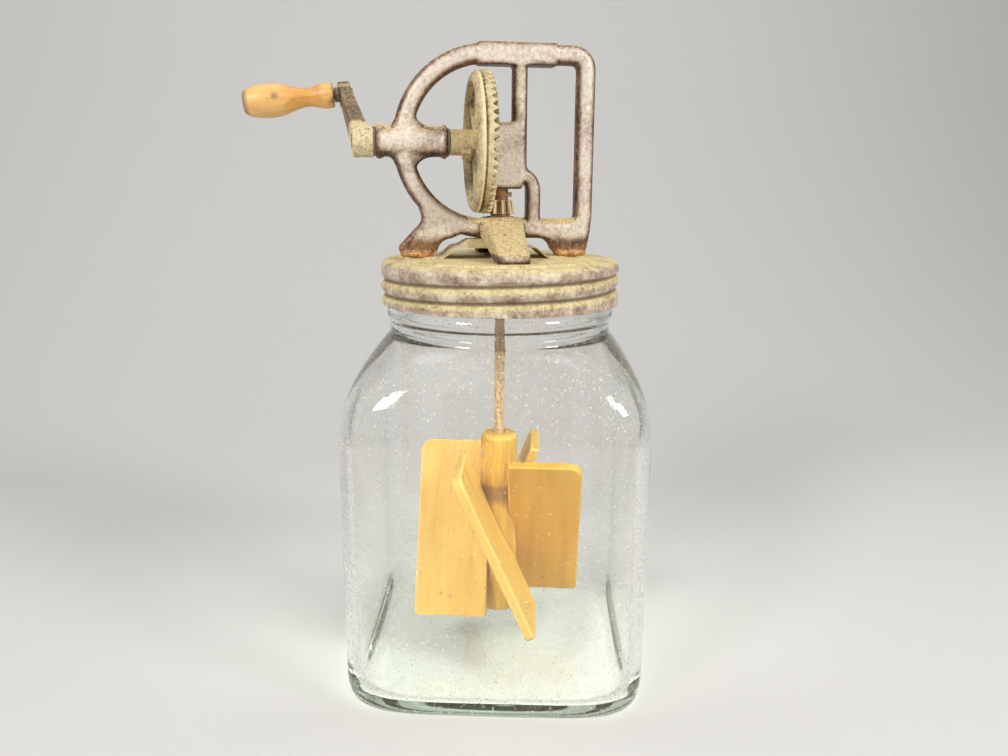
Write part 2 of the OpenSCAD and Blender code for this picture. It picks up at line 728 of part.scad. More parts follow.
module screw_washers() {
    washer_lip = 3.5;
    color(steel_c) for (p = screw_places()) translate([p[0], p[1], panel_under_z - washer_t]) difference() {
        cylinder(d = screw_d + 2 * washer_lip, h = washer_t);
        translate([0, 0, -1]) cylinder(d = screw_d + 2 * seat_gap, h = washer_t + 2);
    }
}

// Flanged sleeve in the lid that the rod passes through
module lid_ferrule() {
    flange_h = 1.2;
    color(steel_c) translate([0, 0, panel_z]) difference() {
        union() {
            cylinder(d = ferrule_flange_d, h = flange_h);
            translate([0, 0, flange_h - ferrule_h]) cylinder(d = ferrule_d, h = ferrule_h);
        }
        translate([0, 0, -ferrule_h]) cylinder(d = rod_d + 2 * run_gap, h = 2 * ferrule_h);
    }
}

module rod_washer() {
    boss_edge = 3;
    color(steel_c) translate([0, 0, rod_washer_z]) difference() {
        cylinder(d = base_boss_d - 2 * boss_edge, h = washer_t);
        translate([0, 0, -1]) cylinder(d = rod_d + 2 * run_gap, h = washer_t + 2);
    }
}

module crank_shaft() {
    color(steel_c) difference() {
        along_x(shaft_x0, shaft_x1, shaft_d);
        arm_pin_solid(seat_gap);
    }
}

// Cross pin of the crank's hub, grown by a gap where it makes its own hole
module arm_pin_solid(gap) {
    pin_inset = 0.4;
    reach = crank_hub_d / 2 + (gap > 0 ? pin_inset : -pin_inset);
    translate([(crank_hub_x0 + crank_hub_x1) / 2, 0, shaft_z - reach])
        cylinder(d = pin_d + 2 * gap, h = 2 * reach);
}
module arm_pin() {
    color(steel_c) arm_pin_solid(0);
}

// Along the grip's spindle, which droops outwards from the arm's outer face
module at_crank_pin(x) {
    translate([crank_tip_x0, pin_y, pin_z]) rotate([0, 90 - spindle_droop, 0])
        translate([0, 0, x - crank_tip_x0]) children();
}

module crank_arm() {
    web = 8.5;
    inset = 0.4;
    color(iron_c) difference() {
        union() {
            along_x(crank_hub_x0, crank_hub_x1, crank_hub_d);
            hull() {
                translate([crank_hub_x0 + inset, 0, shaft_z]) rotate([0, 90, 0])
                    cylinder(d = crank_hub_d - 4 * inset, h = web, $fn = 32);
                at_crank_pin(crank_tip_x0 + inset)
                    cylinder(d = crank_tip_d - 6 * inset, h = crank_tip_t - 2 * inset, $fn = 32);
            }
            at_crank_pin(crank_tip_x0) cylinder(d = crank_tip_d, h = crank_tip_t);
        }
        along_x(crank_hub_x0 - crank_lean, crank_hub_x1 + 1, shaft_d + 2 * seat_gap);
        at_crank_pin(crank_tip_x0 - 1) cylinder(d = spindle_d + 2 * seat_gap, h = 2 * crank_tip_t);
        at_crank_pin(crank_tip_x1) cylinder(d = rivet_d + 2 * seat_gap, h = crank_tip_t);
        arm_pin_solid(seat_gap);
    }
}

module thrust_washers() {
    color(steel_c) for (x = [crank_hub_x1 + end_gap, bearing_x1 + end_gap]) difference() {
        along_x(x, x + washer_t, bearing_d);
        along_x(x - 1, x + washer_t + 1, shaft_d + 2 * seat_gap);
    }
}

// Spindle of the grip: riveted in the arm up to a collar, with a domed head in the grip's nose
module handle_spindle() {
    color(steel_c) {
        at_crank_pin(crank_tip_x0 - collar_h) cylinder(d = collar_d, h = collar_h);
        at_crank_pin(grip_washer_x) cylinder(d = spindle_d, h = crank_tip_x1 - grip_washer_x);
        at_crank_pin(crank_tip_x1) cylinder(d1 = rivet_d, d2 = rivet_d - rivet_h, h = rivet_h);
        at_crank_pin(grip_washer_x - spindle_head_h)
            cylinder(d1 = spindle_head_d - spindle_head_h, d2 = spindle_head_d, h = spindle_head_h);
    }
}

module grip_washer() {
    color(steel_c) at_crank_pin(grip_washer_x) difference() {
        cylinder(d = grip_washer_d, h = washer_t);
        translate([0, 0, -1]) cylinder(d = spindle_d + 2 * seat_gap, h = washer_t + 2);
    }
}

// Half outline of the grip: round nose, swell, waist and flare
function grip_outline() =
    let (swell = grip_d / 2, waist = grip_waist_d / 2, flare = grip_flare_d / 2,
         swell_x = grip_len * 0.31, waist_x = grip_len * 0.72, flare_w = 4, edge = 1,
         flare_x = grip_len - flare_w, steps = 8)
    concat(
        [for (i = [0 : steps]) let (t = i / steps)
            [swell_x * (1 - cos(90 * t)), mix(grip_tip_d / 2, swell, sin(90 * t))]],
        [for (i = [1 : steps]) let (t = i / steps)
            [mix(swell_x, waist_x, t), mix(waist, swell, 0.5 + 0.5 * cos(180 * t))]],
        [for (i = [1 : steps]) let (t = i / steps)
            [mix(waist_x, flare_x, t), mix(flare, waist, 0.5 + 0.5 * cos(180 * t))]],
        [[grip_len - edge, flare], [grip_len, flare - edge]]);

module handle_grip() {
    bore = spindle_d / 2 + run_gap;
    outline = grip_outline();
    color(grip_c) at_crank_pin(grip_x0) rotate_extrude()
        polygon(concat([[bore, grip_recess_h], [grip_recess_d / 2, grip_recess_h], [grip_recess_d / 2, 0]],
                       [for (p = outline) [p[1], p[0]]], [[bore, grip_len]]));
}

// Straight tapered teeth of the drive gear: one skin of ribs over a thin root ring
module gear_teeth_ring() {
    thick = tooth_pitch / 2 - tooth_play / 2;
    tip_half = (thick / 2 - gear_tip * tan(pressure)) / gear_r * 180 / PI;
    root_half = (thick / 2 + gear_root * tan(pressure)) / gear_r * 180 / PI;
    step = 360 / gear_teeth;
    tip_x = gear_tip - pinion_r;
    root_x = -gear_root - pinion_r;
    ring_t = 1.5;
    back_x = root_x - ring_t;
    // Four points a tooth on each line, at the wide end and at the narrow end
    wide = [for (i = [0 : gear_teeth - 1]) let (a = i * step)
        each [[a - root_half, root_x], [a - tip_half, tip_x],
              [a + tip_half, tip_x], [a + root_half, root_x]]];
    count = len(wide);
    function place(a, x, r) = [x, r * sin(a), -r * cos(a)];
    outer = [for (p = wide) place(p[0], p[1], gear_r)];
    inner = [for (p = wide) place(p[0], p[1] * taper, gear_r * taper)];
    outer_back = [for (p = wide) place(p[0], back_x, gear_r)];
    inner_back = [for (p = wide) place(p[0], back_x, gear_r * taper)];
    function wall(a, b) = [for (i = [0 : count - 1]) let (k = (i + 1) % count)
        each [[a + i, b + k, a + k], [a + i, b + i, b + k]]];
    translate([0, 0, shaft_z]) polyhedron(
        concat(outer, inner, outer_back, inner_back),
        concat(wall(0, count), wall(count, 3 * count), wall(3 * count, 2 * count), wall(2 * count, 0)));
}

module drive_gear() {
    root_x = -gear_root - pinion_r;
    narrow_r = gear_r * taper;
    hub_r = gear_hub_d / 2;
    web_x1 = gear_web_x + gear_web_t;
    hub_gap = 1;
    hub_x1 = block_x - hub_gap;
    bore_r = shaft_d / 2 + seat_gap;
    rim_inner = gear_rim_r - gear_rim_t;
    // Round shoulder of the rim, and the groove between it and the teeth
    shoulder_w = 4.4;
    shoulder_h = 4.8;
    shoulder_x = gear_back_x + shoulder_w;
    groove_w = 0.9;
    groove_r = gear_rim_r - 0.8 * groove_w;
    // Fillet at the hub, slope of the rim's inside, and the ring of teeth sunk in the rim
    hub_fillet = 2;
    rim_draft = 1;
    teeth_sunk = 0.8;
    teeth_lip = 0.4;
    color(gear_c) difference() {
        union() {
            gear_teeth_ring();
            translate([0, 0, shaft_z]) rotate([0, 90, 0]) rotate_extrude() polygon(concat(
                [[bore_r, gear_hub_x0], [hub_r, gear_hub_x0], [hub_r, gear_web_x - hub_fillet],
                 [hub_r + hub_fillet, gear_web_x], [rim_inner - rim_draft, gear_web_x],
                 [rim_inner, gear_back_x]],
                [for (a = [0 : 15 : 90])
                    [gear_rim_r - shoulder_h * (1 - sin(a)), shoulder_x - shoulder_w * cos(a)]],
                [[groove_r, shoulder_x + groove_w / 3], [groove_r, shoulder_x + groove_w],
                 [gear_r - teeth_lip, shoulder_x + groove_w], [gear_r - teeth_lip, root_x - teeth_sunk],
                 [narrow_r + teeth_lip, root_x - teeth_sunk], [narrow_r - rim_draft, web_x1],
                 [hub_r, web_x1], [hub_r, hub_x1], [bore_r, hub_x1]]));
            for (i = [0 : gear_ribs - 1])
                translate([0, 0, shaft_z]) rotate([(i + 0.25) * 360 / gear_ribs, 0, 0])
                translate([gear_web_x - gear_rib_h, -gear_rib_w / 2, hub_r - rim_draft])
                    cube([gear_rib_h + rim_draft, gear_rib_w, rim_inner - hub_r + rim_draft]);
        }
        gear_screw_solid(seat_gap);
    }
}

// Square-headed screw that holds the gear on its shaft
module gear_screw_solid(gap) {
    head_w = 5.4;
    head_h = 4;
    shank_d = 3.6;
    head_gap = 0.2;
    screw_in = 9.4;
    screw_x = gear_hub_x0 + screw_in;
    screw_a = -45;
    shank = gear_hub_d / 2 - shaft_d / 2;
    translate([screw_x, 0, shaft_z]) rotate([screw_a, 0, 0]) translate([0, 0, -gear_hub_d / 2 - head_gap]) {
        translate([0, 0, -gap]) cylinder(d = shank_d + 2 * gap, h = shank + head_gap / 2 + 2 * gap);
        if (gap == 0) translate([-head_w / 2, -head_w / 2, -head_h]) cube([head_w, head_w, head_h]);
    }
}
module gear_screw() {
    color(rust_c) gear_screw_solid(0);
}

// Outline of the pinion at its wide end: rolled flanks from the root to the tips
function rolled(base_r, r) = let (c = min(1, base_r / r), a = acos(c)) tan(a) * 180 / PI - a;
function pinion_outline() =
    let (base_r = pinion_r * cos(pressure),
         low = pinion_r - pinion_root,
         high = pinion_r + pinion_tip,
         half = (tooth_pitch / 2 - tooth_play / 2) / pinion_r / 2 * 180 / PI + rolled(base_r, pinion_r),
         radii = [low, base_r, mix(base_r, high, 0.35), mix(base_r, high, 0.7), high],
         rising = [for (r = radii) [half - rolled(base_r, r), r]])
    [for (i = [0 : pinion_teeth - 1]) let (mid = (i + 0.5) * 360 / pinion_teeth)
        each concat([for (p = rising) [p[1] * cos(mid - p[0]), p[1] * sin(mid - p[0])]],
                    [for (p = backwards(rising)) [p[1] * cos(mid + p[0]), p[1] * sin(mid + p[0])]])];

module pinion_pin_solid(gap) {
    proud = 2.2;
    reach = pinion_hub_d / 2 + proud;
    translate([-reach, 0, pinion_top_z - pinion_hub_h / 2]) rotate([0, 90, 0])
        cylinder(d = pin_d + 2 * gap, h = 2 * reach);
}
module pinion() {
    color(rust_c) difference() {
        union() {
            translate([0, 0, pinion_low_z])
                linear_extrude(tooth_face, scale = taper) polygon(pinion_outline());
            translate([0, 0, pinion_seat_z]) cylinder(r = pinion_collar_r, h = pinion_collar_h + pinion_sunk);
            translate([0, 0, pinion_low_z + tooth_face - pinion_sunk])
                cylinder(d = pinion_hub_d, h = pinion_hub_h + pinion_sunk);
        }
        translate([0, 0, pinion_seat_z - 1])
            cylinder(d = rod_d + 2 * seat_gap, h = pinion_top_z - pinion_seat_z + 2);
        dasher_turned() pinion_pin_solid(seat_gap);
    }
}
module pinion_pin() {
    color(steel_c) dasher_turned() pinion_pin_solid(0);
}

module dasher_turned() {
    rotate([0, 0, dasher_turn + 90]) children();
}

module hub_pin_solid(gap) {
    reach = hub_d / 2 + hub_pin_proud;
    dasher_turned() rotate([0, 0, hub_pin_turn]) translate([-reach, 0, hub_pin_z])
        rotate([0, 90, 0]) cylinder(d = pin_d + 2 * gap, h = 2 * reach);
}
module dasher_rod() {
    color(rust_c) difference() {
        translate([0, 0, rod_z0]) cylinder(d = rod_d, h = rod_top_z - rod_z0);
        dasher_turned() pinion_pin_solid(seat_gap);
        hub_pin_solid(seat_gap);
    }
}

// One board of the dasher: its outer corners are round, and its inner edge sits in the hub
module blade_solid(index, gap) {
    x0 = blade_inner - gap;
    half = blade_h / 2;
    top_x = blade_r - blade_round;
    low_x = blade_r - blade_low_round;
    rotate([0, 0, dasher_turn + 90 * index]) translate([0, 0, dasher_z]) rotate([blade_tilt, 0, 0])
        rotate([90, 0, 0]) linear_extrude(blade_t + 2 * gap, center = true) polygon(concat(
            [[x0, half + gap], [x0, -half - gap]],
            arc(low_x, -half - gap + blade_low_round, blade_low_round, -90, 0),
            arc(top_x, half + gap - blade_round, blade_round, 0, 90)));
}
module dasher_hub() {
    edge = 3;
    color(grip_c) difference() {
        translate([0, 0, hub_z0]) rotate_extrude() {
            square([hub_d / 2, hub_len - edge]);
            square([hub_d / 2 - edge, hub_len]);
            translate([hub_d / 2 - edge, hub_len - edge]) circle(edge);
        }
        translate([0, 0, rod_z0 - end_gap]) cylinder(d = rod_d + 2 * seat_gap, h = hub_len);
        for (i = [0 : 3]) blade_solid(i, seat_gap);
        hub_pin_solid(seat_gap);
    }
}
module hub_pin() {
    color(steel_c) hub_pin_solid(0);
}
module dasher_blade(index) {
    color(wood_c) blade_solid(index, 0);
}

glass_jar();
lid_gasket();
screw_lid();
drip_plate();
cast_frame();
frame_screws();
screw_washers();
lid_ferrule();
rod_washer();
crank_shaft();
crank_arm();
arm_pin();
thrust_washers();
drive_gear();
gear_screw();
handle_spindle();
grip_washer();
handle_grip();
pinion();
pinion_pin();
dasher_rod();
dasher_hub();
hub_pin();
dasher_blade(0);  // dasher_blade_front
dasher_blade(1);  // dasher_blade_right
dasher_blade(2);  // dasher_blade_rear
dasher_blade(3);  // dasher_blade_left
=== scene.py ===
# Glass jar churn: the looks of every piece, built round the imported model
import json
import math

import bmesh
import bpy
import numpy as np
from mathutils import Matrix, Vector, noise


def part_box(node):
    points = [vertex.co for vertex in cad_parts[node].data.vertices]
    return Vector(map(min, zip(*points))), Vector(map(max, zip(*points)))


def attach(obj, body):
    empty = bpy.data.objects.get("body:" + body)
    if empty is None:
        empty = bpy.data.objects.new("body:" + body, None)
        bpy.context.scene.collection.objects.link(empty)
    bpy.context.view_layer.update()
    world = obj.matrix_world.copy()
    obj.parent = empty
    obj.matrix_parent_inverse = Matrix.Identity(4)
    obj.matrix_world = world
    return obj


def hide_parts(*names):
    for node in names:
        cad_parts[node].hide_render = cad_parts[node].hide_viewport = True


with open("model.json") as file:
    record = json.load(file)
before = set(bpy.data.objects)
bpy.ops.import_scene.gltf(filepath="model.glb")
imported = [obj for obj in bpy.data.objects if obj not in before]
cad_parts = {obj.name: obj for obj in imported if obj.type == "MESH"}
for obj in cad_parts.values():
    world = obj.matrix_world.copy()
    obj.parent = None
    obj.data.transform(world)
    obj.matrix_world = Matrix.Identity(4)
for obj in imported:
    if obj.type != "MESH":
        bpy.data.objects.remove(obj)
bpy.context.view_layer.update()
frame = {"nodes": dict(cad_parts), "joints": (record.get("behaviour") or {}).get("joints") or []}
nodes = frame["nodes"]
scene = bpy.context.scene
scene.view_settings.view_transform = "Standard"
scene.cycles.max_bounces = 32  # light crosses many glass walls before it leaves the jar's base
scene.cycles.transmission_bounces = 32
scene.cycles.glossy_bounces = 16


# Node trees: a wire is one output socket, and maths on wires adds Math nodes
class Wire:
    def __init__(self, builder, socket):
        self.builder = builder
        self.socket = socket

    def other(self, name):
        return Wire(self.builder, self.socket.node.outputs[name])

    def maths(self, operation, *values):
        return self.builder.maths(operation, self, *values)

    def __add__(self, value):
        return self.maths("ADD", value)

    def __sub__(self, value):
        return self.maths("SUBTRACT", value)

    def __rsub__(self, value):
        return self.builder.maths("SUBTRACT", value, self)

    def __mul__(self, value):
        return self.maths("MULTIPLY", value)

    def __truediv__(self, value):
        return self.maths("DIVIDE", value)

    def __pow__(self, value):
        return self.maths("POWER", value)

    def __mod__(self, value):
        return self.maths("MODULO", value)

    __radd__ = __add__
    __rmul__ = __mul__


class Builder:
    def __init__(self, tree):
        self.tree = tree

    # any node: its settings first, then the values or wires of its sockets
    def node(self, kind, settings=None, sockets=None, out=0):
        made = self.tree.nodes.new(kind)
        for name, value in (settings or {}).items():
            if name == "stops":
                self.setStops(made.color_ramp, value)
            else:
                setattr(made, name, value)
        for name, value in (sockets or {}).items():
            if isinstance(value, Wire):
                self.tree.links.new(value.socket, made.inputs[name])
            else:
                made.inputs[name].default_value = value
        if not len(made.outputs):
            return made
        return Wire(self, made.outputs[out])

    def setStops(self, ramp, stops):
        while len(ramp.elements) < len(stops):
            ramp.elements.new(0.5)
        for element, (place, colour) in zip(ramp.elements, stops):
            element.position = place
            element.color = (*colour, 1) if len(colour) == 3 else colour

    def maths(self, operation, *values):
        return self.node("ShaderNodeMath", {"operation": operation}, dict(enumerate(values)))

    def clamp(self, value):
        return self.node("ShaderNodeClamp", {}, {"Value": value})

    # smooth step of a value between two edges
    def step(self, value, low, high):
        return self.node("ShaderNodeMapRange", {"interpolation_type": "SMOOTHSTEP"},
                         {"Value": value, "From Min": low, "From Max": high})

    def mixColour(self, factor, first, second):
        first = first if isinstance(first, Wire) else (*first, 1)
        second = second if isinstance(second, Wire) else (*second, 1)
        return self.node("ShaderNodeMix", {"data_type": "RGBA"}, {0: factor, 6: first, 7: second}, 2)

    def objectPlace(self):
        return self.node("ShaderNodeTexCoord", out="Object")

    def attribute(self, name, out="Fac"):
        return self.node("ShaderNodeAttribute", {"attribute_name": name}, out=out)

    def noise(self, place, scale, detail=3.0, rough=0.5, warp=0.0):
        return self.node("ShaderNodeTexNoise", {}, {"Vector": place, "Scale": scale, "Detail": detail,
                                                    "Roughness": rough, "Distortion": warp})

    def cells(self, place, scale):
        return self.node("ShaderNodeTexVoronoi", {}, {"Vector": place, "Scale": scale}, "Distance")

    def ramp(self, value, stops):
        return self.node("ShaderNodeValToRGB", {"stops": stops}, {"Fac": value})

    def bump(self, height, strength, distance):
        sockets = {"Height": height, "Strength": strength, "Distance": distance}
        return self.node("ShaderNodeBump", {}, sockets)

    # place stretched by three factors
    def stretched(self, place, factors):
        return self.node("ShaderNodeMapping", {}, {"Vector": place, "Scale": factors})


def newFinish(name):
    finish = bpy.data.materials.new(name)
    finish.use_nodes = True
    finish.node_tree.nodes.clear()
    return finish, Builder(finish.node_tree)


def principled(b, sockets):
    return b.node("ShaderNodeBsdfPrincipled", {}, sockets)


# ends a finish that has one plain surface
def plainFinish(finish, b, sockets):
    b.node("ShaderNodeOutputMaterial", {}, {"Surface": principled(b, sockets)})
    return finish


# Finishes of the metal pieces: a crust of fine, middle and broad mottling, under loose dust
dustLook = {"pale": (0.84, 0.70, 0.40), "mid": (0.68, 0.525, 0.26), "dark": (0.38, 0.265, 0.115)}
hubDust = {"pale": (0.88, 0.79, 0.57), "mid": (0.74, 0.62, 0.38), "dark": (0.36, 0.26, 0.135)}
gritScale = {"fine": 1500, "mid": 430}


def crust(b, broadScale):
    place = b.objectPlace()
    fine = b.noise(place, gritScale["fine"], 2, 0.6)
    mid = b.noise(place, gritScale["mid"], 3, 0.6)
    return fine, mid, b.noise(place, broadScale, 4, 0.62, 0.4)


# dust lies on in grains, and covers more where its amount is higher
def dustOver(b, amount, base, fine, mid, look=dustLook):
    mask = b.step(amount + (fine - 0.5) * 1.9 + (mid - 0.5) * 1.4, 0.40, 0.82)
    tone = b.ramp(fine * 0.65 + mid * 0.35,
                  [(0.37, look["dark"]), (0.49, look["mid"]), (0.61, look["pale"])])
    return mask, b.mixColour(mask, base, tone)


castLook = {"deep": (0.07, 0.041, 0.026), "brown": (0.22, 0.14, 0.092), "taupe": (0.55, 0.435, 0.335),
            "pale": (0.87, 0.785, 0.665), "rust": (0.36, 0.165, 0.075), "rustDeep": (0.13, 0.055, 0.026),
            "pad": (0.68, 0.36, 0.105), "padDeep": (0.20, 0.08, 0.026), "dust": dustLook}
armLook = {"deep": (0.055, 0.034, 0.02), "brown": (0.26, 0.165, 0.065), "taupe": (0.49, 0.345, 0.155),
           "pale": (0.66, 0.51, 0.27), "dust": hubDust}


# old casting: taupe on its fronts and brown on its sides and undersides, as painted highlight and painted
# shade from the shade attribute
def castFinish(name, changes=None):
    look = {**castLook, **(changes or {})}
    finish, b = newFinish(name)
    fine, mid, broad = crust(b, 40)
    shade = b.attribute("shade")
    tone = shade + (broad - 0.5) * 0.8 + (mid - 0.5) * 0.95 + (fine - 0.5) * 0.75
    base = b.ramp(tone, [(0.02, look["deep"]), (0.30, look["brown"]), (0.62, look["taupe"]),
                         (0.98, look["pale"])])
    rustTone = b.mixColour(b.step(mid, 0.36, 0.62), look["rustDeep"], look["rust"])
    rusty = b.step(broad + (mid - 0.5) * 0.8 - shade * 0.22, 0.42, 0.66)
    base = b.mixColour(rusty * 0.55, base, rustTone)
    padTone = b.ramp(mid * 0.5 + broad * 0.3 + fine * 0.2,
                     [(0.40, look["padDeep"]), (0.48, look["rust"]), (0.56, look["pad"])])
    base = b.mixColour(b.clamp(b.attribute("rust") * (0.7 + mid * 0.6)), base, padTone)
    dusty, colour = dustOver(b, b.attribute("dust"), base, fine, mid, look["dust"])
    relief = fine * 0.3 + mid * 0.6 + dusty * fine * 0.9
    return plainFinish(finish, b, {"Base Color": colour, "Roughness": 0.33 + mid * 0.2 + dusty * 0.4,
                                   "Metallic": 0.12 * (1 - dusty), "Normal": b.bump(relief, 0.5, 0.0004)})


sheetLook = {"deep": (0.105, 0.066, 0.04), "brown": (0.36, 0.245, 0.175), "pink": (0.56, 0.43, 0.325),
             "pale": (0.84, 0.755, 0.61), "moss": (0.28, 0.195, 0.07), "straw": (0.66, 0.53, 0.25),
             "sand": (0.87, 0.76, 0.44)}


# rolled sheet: pinkish brown walls, straw-coloured where dust has settled
def lidFinish():
    finish, b = newFinish("agedLidSheet")
    fine, mid, broad = crust(b, 90)
    tone = fine * 0.2 + mid * 0.25 + broad * 0.55
    wall = b.ramp(tone, [(0.33, sheetLook["deep"]), (0.42, sheetLook["brown"]), (0.50, sheetLook["pink"]),
                         (0.60, sheetLook["pale"])])
    settled = b.ramp(fine * 0.35 + mid * 0.4 + broad * 0.25,
                     [(0.36, sheetLook["moss"]), (0.46, sheetLook["straw"]), (0.59, sheetLook["sand"])])
    dust = b.attribute("dust")
    mask = b.step(dust + (fine - 0.5) * 0.5 + (mid - 0.5) * 0.8 + (broad - 0.5) * 1.1, 0.08, 0.95)
    colour = b.mixColour(mask, wall, settled)
    # painted shade: darker in the grooves between the beads
    colour = b.mixColour(b.step(b.attribute("bead"), 0.5, 0.06) * 0.8, colour, sheetLook["deep"])
    relief = fine * 0.6 + mid * 0.4 + mask * fine * 0.6
    return plainFinish(finish, b, {"Base Color": colour, "Roughness": 0.34 + mid * 0.2 + mask * 0.34,
                                   "Metallic": 0.12 * (1 - mask), "Normal": b.bump(relief, 0.6, 0.0004)})


gearLook = {"deep": (0.06, 0.036, 0.016), "brown": (0.24, 0.165, 0.085), "tan": (0.60, 0.475, 0.27),
            "pale": (0.83, 0.71, 0.44), "ridge": (0.90, 0.77, 0.43), "hubRust": (0.38, 0.165, 0.075)}


# dry gear iron: painted shade in its hollows and from the shade attribute, and straw-coloured along its
# ridges with dust and painted highlight
def gearFinish(name, rusty):
    finish, b = newFinish(name)
    fine, mid, broad = crust(b, 70)
    tone = fine * 0.25 + mid * 0.35 + broad * 0.4 - b.attribute("hollow") * 0.24
    tone = tone + b.attribute("shade") * 0.09 - 0.045
    base = b.ramp(tone, [(0.24, gearLook["deep"]), (0.37, gearLook["brown"]), (0.48, gearLook["tan"]),
                         (0.60, gearLook["pale"])])
    rustTone = b.mixColour(b.step(fine, 0.36, 0.64), castLook["rustDeep"], gearLook["hubRust"])
    base = b.mixColour(b.clamp(b.attribute("rust") * rusty), base, rustTone)
    ridge = b.step(b.attribute("edge") + (mid - 0.5) * 0.6, 0.22, 0.75)
    base = b.mixColour(ridge * 0.85, base, gearLook["ridge"])
    dusty, colour = dustOver(b, b.attribute("dust"), base, fine, mid)
    relief = fine * 0.6 + mid * 0.4 + dusty * fine * 0.8
    return plainFinish(finish, b, {"Base Color": colour, "Roughness": 0.44 + fine * 0.2 + dusty * 0.3,
                                   "Metallic": 0.15 * (1 - dusty), "Normal": b.bump(relief, 0.6, 0.00035)})


steelLook = {"bright": (0.33, 0.27, 0.21), "dark": (0.10, 0.07, 0.048),
             "rust": (0.62, 0.385, 0.19), "rustDark": (0.27, 0.13, 0.055), "rustPale": (0.80, 0.61, 0.375)}


# tarnished steel of the shaft, washers, pins and screws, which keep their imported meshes
def steelFinish(name, rustShare):
    finish, b = newFinish(name)
    fine, mid, broad = crust(b, 120)
    steel = b.ramp(broad * 0.5 + mid * 0.5, [(0.36, steelLook["dark"]), (0.62, steelLook["bright"])])
    rust = b.ramp(fine * 0.6 + mid * 0.4,
                  [(0.36, steelLook["rustDark"]), (0.49, steelLook["rust"]), (0.62, steelLook["rustPale"])])
    mask = b.step(mid * 0.6 + fine * 0.4, 0.66 - rustShare * 0.4, 0.78 - rustShare * 0.4)
    return plainFinish(finish, b, {"Base Color": b.mixColour(mask, steel, rust),
                                   "Roughness": 0.36 + mask * 0.4, "Metallic": 0.6 * (1 - mask),
                                   "Normal": b.bump(fine * (0.3 + mask), 0.5, 0.0003)})


# bent sheet under the frame, dusty nearly all over
def dustySheetFinish():
    finish, b = newFinish("dustySheet")
    fine, mid, broad = crust(b, 60)
    base = b.mixColour(b.step(mid, 0.34, 0.58), sheetLook["pink"], sheetLook["sand"])
    dusty, colour = dustOver(b, b.step(broad, 0.2, 0.6) * 0.85, base, fine, mid)
    return plainFinish(finish, b, {"Base Color": colour, "Roughness": 0.5 + dusty * 0.35,
                                   "Metallic": 0.15 * (1 - dusty),
                                   "Normal": b.bump(fine + dusty * fine, 0.5, 0.0004)})


def crumbFinish():
    finish, b = newFinish("dryDust")
    grain = b.noise(b.objectPlace(), 900, 2)
    colour = b.mixColour(b.step(grain, 0.35, 0.65), dustLook["mid"], dustLook["pale"])
    return plainFinish(finish, b, {"Base Color": colour, "Roughness": 0.95})


# Finishes of the wooden pieces: grain follows each piece's own lengthwise coordinates
def woodFinish(name, look):
    finish, b = newFinish(name)
    along = b.attribute("grain", "Vector")
    fibre = b.noise(b.stretched(along, (1, 1, 0.035)), 1700, 4, 0.65)
    rings = b.noise(b.stretched(along, (1, 1, 0.12)), look["rings"], 2, 0.5, 0.8)
    cloud = b.noise(along, 34, 4, 0.6)
    pores = b.step(b.noise(b.stretched(along, (1, 1, 0.06)), 2600, 1), 0.63, 0.72)
    base = b.ramp(rings * 0.55 + fibre * 0.25 + cloud * 0.2,
                  [(0.3, look["deep"]), (0.5, look["body"]), (0.7, look["pale"])])
    base = b.mixColour(pores * 0.35, base, look["pore"])
    worn = b.step(b.attribute("wear") + (cloud - 0.5) * 0.6, 0.25, 0.9)
    base = b.mixColour(worn * look["wornShare"], base, look["worn"])
    stain = b.step(b.noise(along, 95, 5, 0.7) * 0.5 + b.noise(along, 22, 2) * 0.5, 0.58, 0.70)
    base = b.mixColour(stain * look["stainShare"], base, look["stain"])
    # dark marks, and on the hub a band of painted shade, in one darker tone
    mark = b.clamp(b.attribute("mark") + (cloud - 0.5) * 0.5 * b.attribute("mark"))
    base = b.mixColour(mark, base, look["markAndShadeTone"])
    height = fibre * 0.6 + pores * -0.5 + cloud * 0.3
    rough = look["rough"] + fibre * 0.16 + mark * 0.2
    return plainFinish(finish, b, {"Base Color": base, "Roughness": rough,
                                   "Normal": b.bump(height, look["relief"], 0.0003)})


gripLook = {"rings": 210, "deep": (0.50, 0.205, 0.04), "body": (0.81, 0.41, 0.10),
            "pale": (0.93, 0.57, 0.18), "pore": (0.42, 0.165, 0.04), "worn": (0.95, 0.66, 0.28),
            "wornShare": 0.35, "stain": (0.33, 0.14, 0.045), "stainShare": 0.45,
            "markAndShadeTone": (0.25, 0.16, 0.10), "rough": 0.32, "relief": 0.22}
hubLook = {"rings": 190, "deep": (0.47, 0.215, 0.026), "body": (0.74, 0.43, 0.05),
           "pale": (0.86, 0.58, 0.10), "pore": (0.27, 0.11, 0.02), "worn": (0.86, 0.62, 0.22),
           "wornShare": 0.4, "stain": (0.29, 0.13, 0.03), "stainShare": 0.5,
           "markAndShadeTone": (0.10, 0.055, 0.03), "rough": 0.46, "relief": 0.4}
bladeLook = {"rings": 120, "deep": (0.72, 0.43, 0.075), "body": (0.84, 0.565, 0.12),
             "pale": (0.90, 0.67, 0.20), "pore": (0.56, 0.30, 0.05), "worn": (0.92, 0.76, 0.34),
             "wornShare": 0.55, "stain": (0.66, 0.38, 0.07), "stainShare": 0.5,
             "markAndShadeTone": (0.22, 0.14, 0.07), "rough": 0.46, "relief": 0.3}


def tintedLook(look, factor):
    changed = dict(look)
    for key in ("deep", "body", "pale", "worn"):
        changed[key] = tuple(c * f for c, f in zip(look[key], factor))
    return changed


# Glass: clear with a faint green cast, under dust specks, smears and a haze
glassLook = {"ior": 1.5, "cast": (0.76, 0.86, 0.77, 1), "castDensity": 9.0, "speck": (0.76, 0.71, 0.55),
             "shadowTint": (0.83, 0.862, 0.838, 1), "bigSpeckShift": (0.31, 0.17, 0.23)}


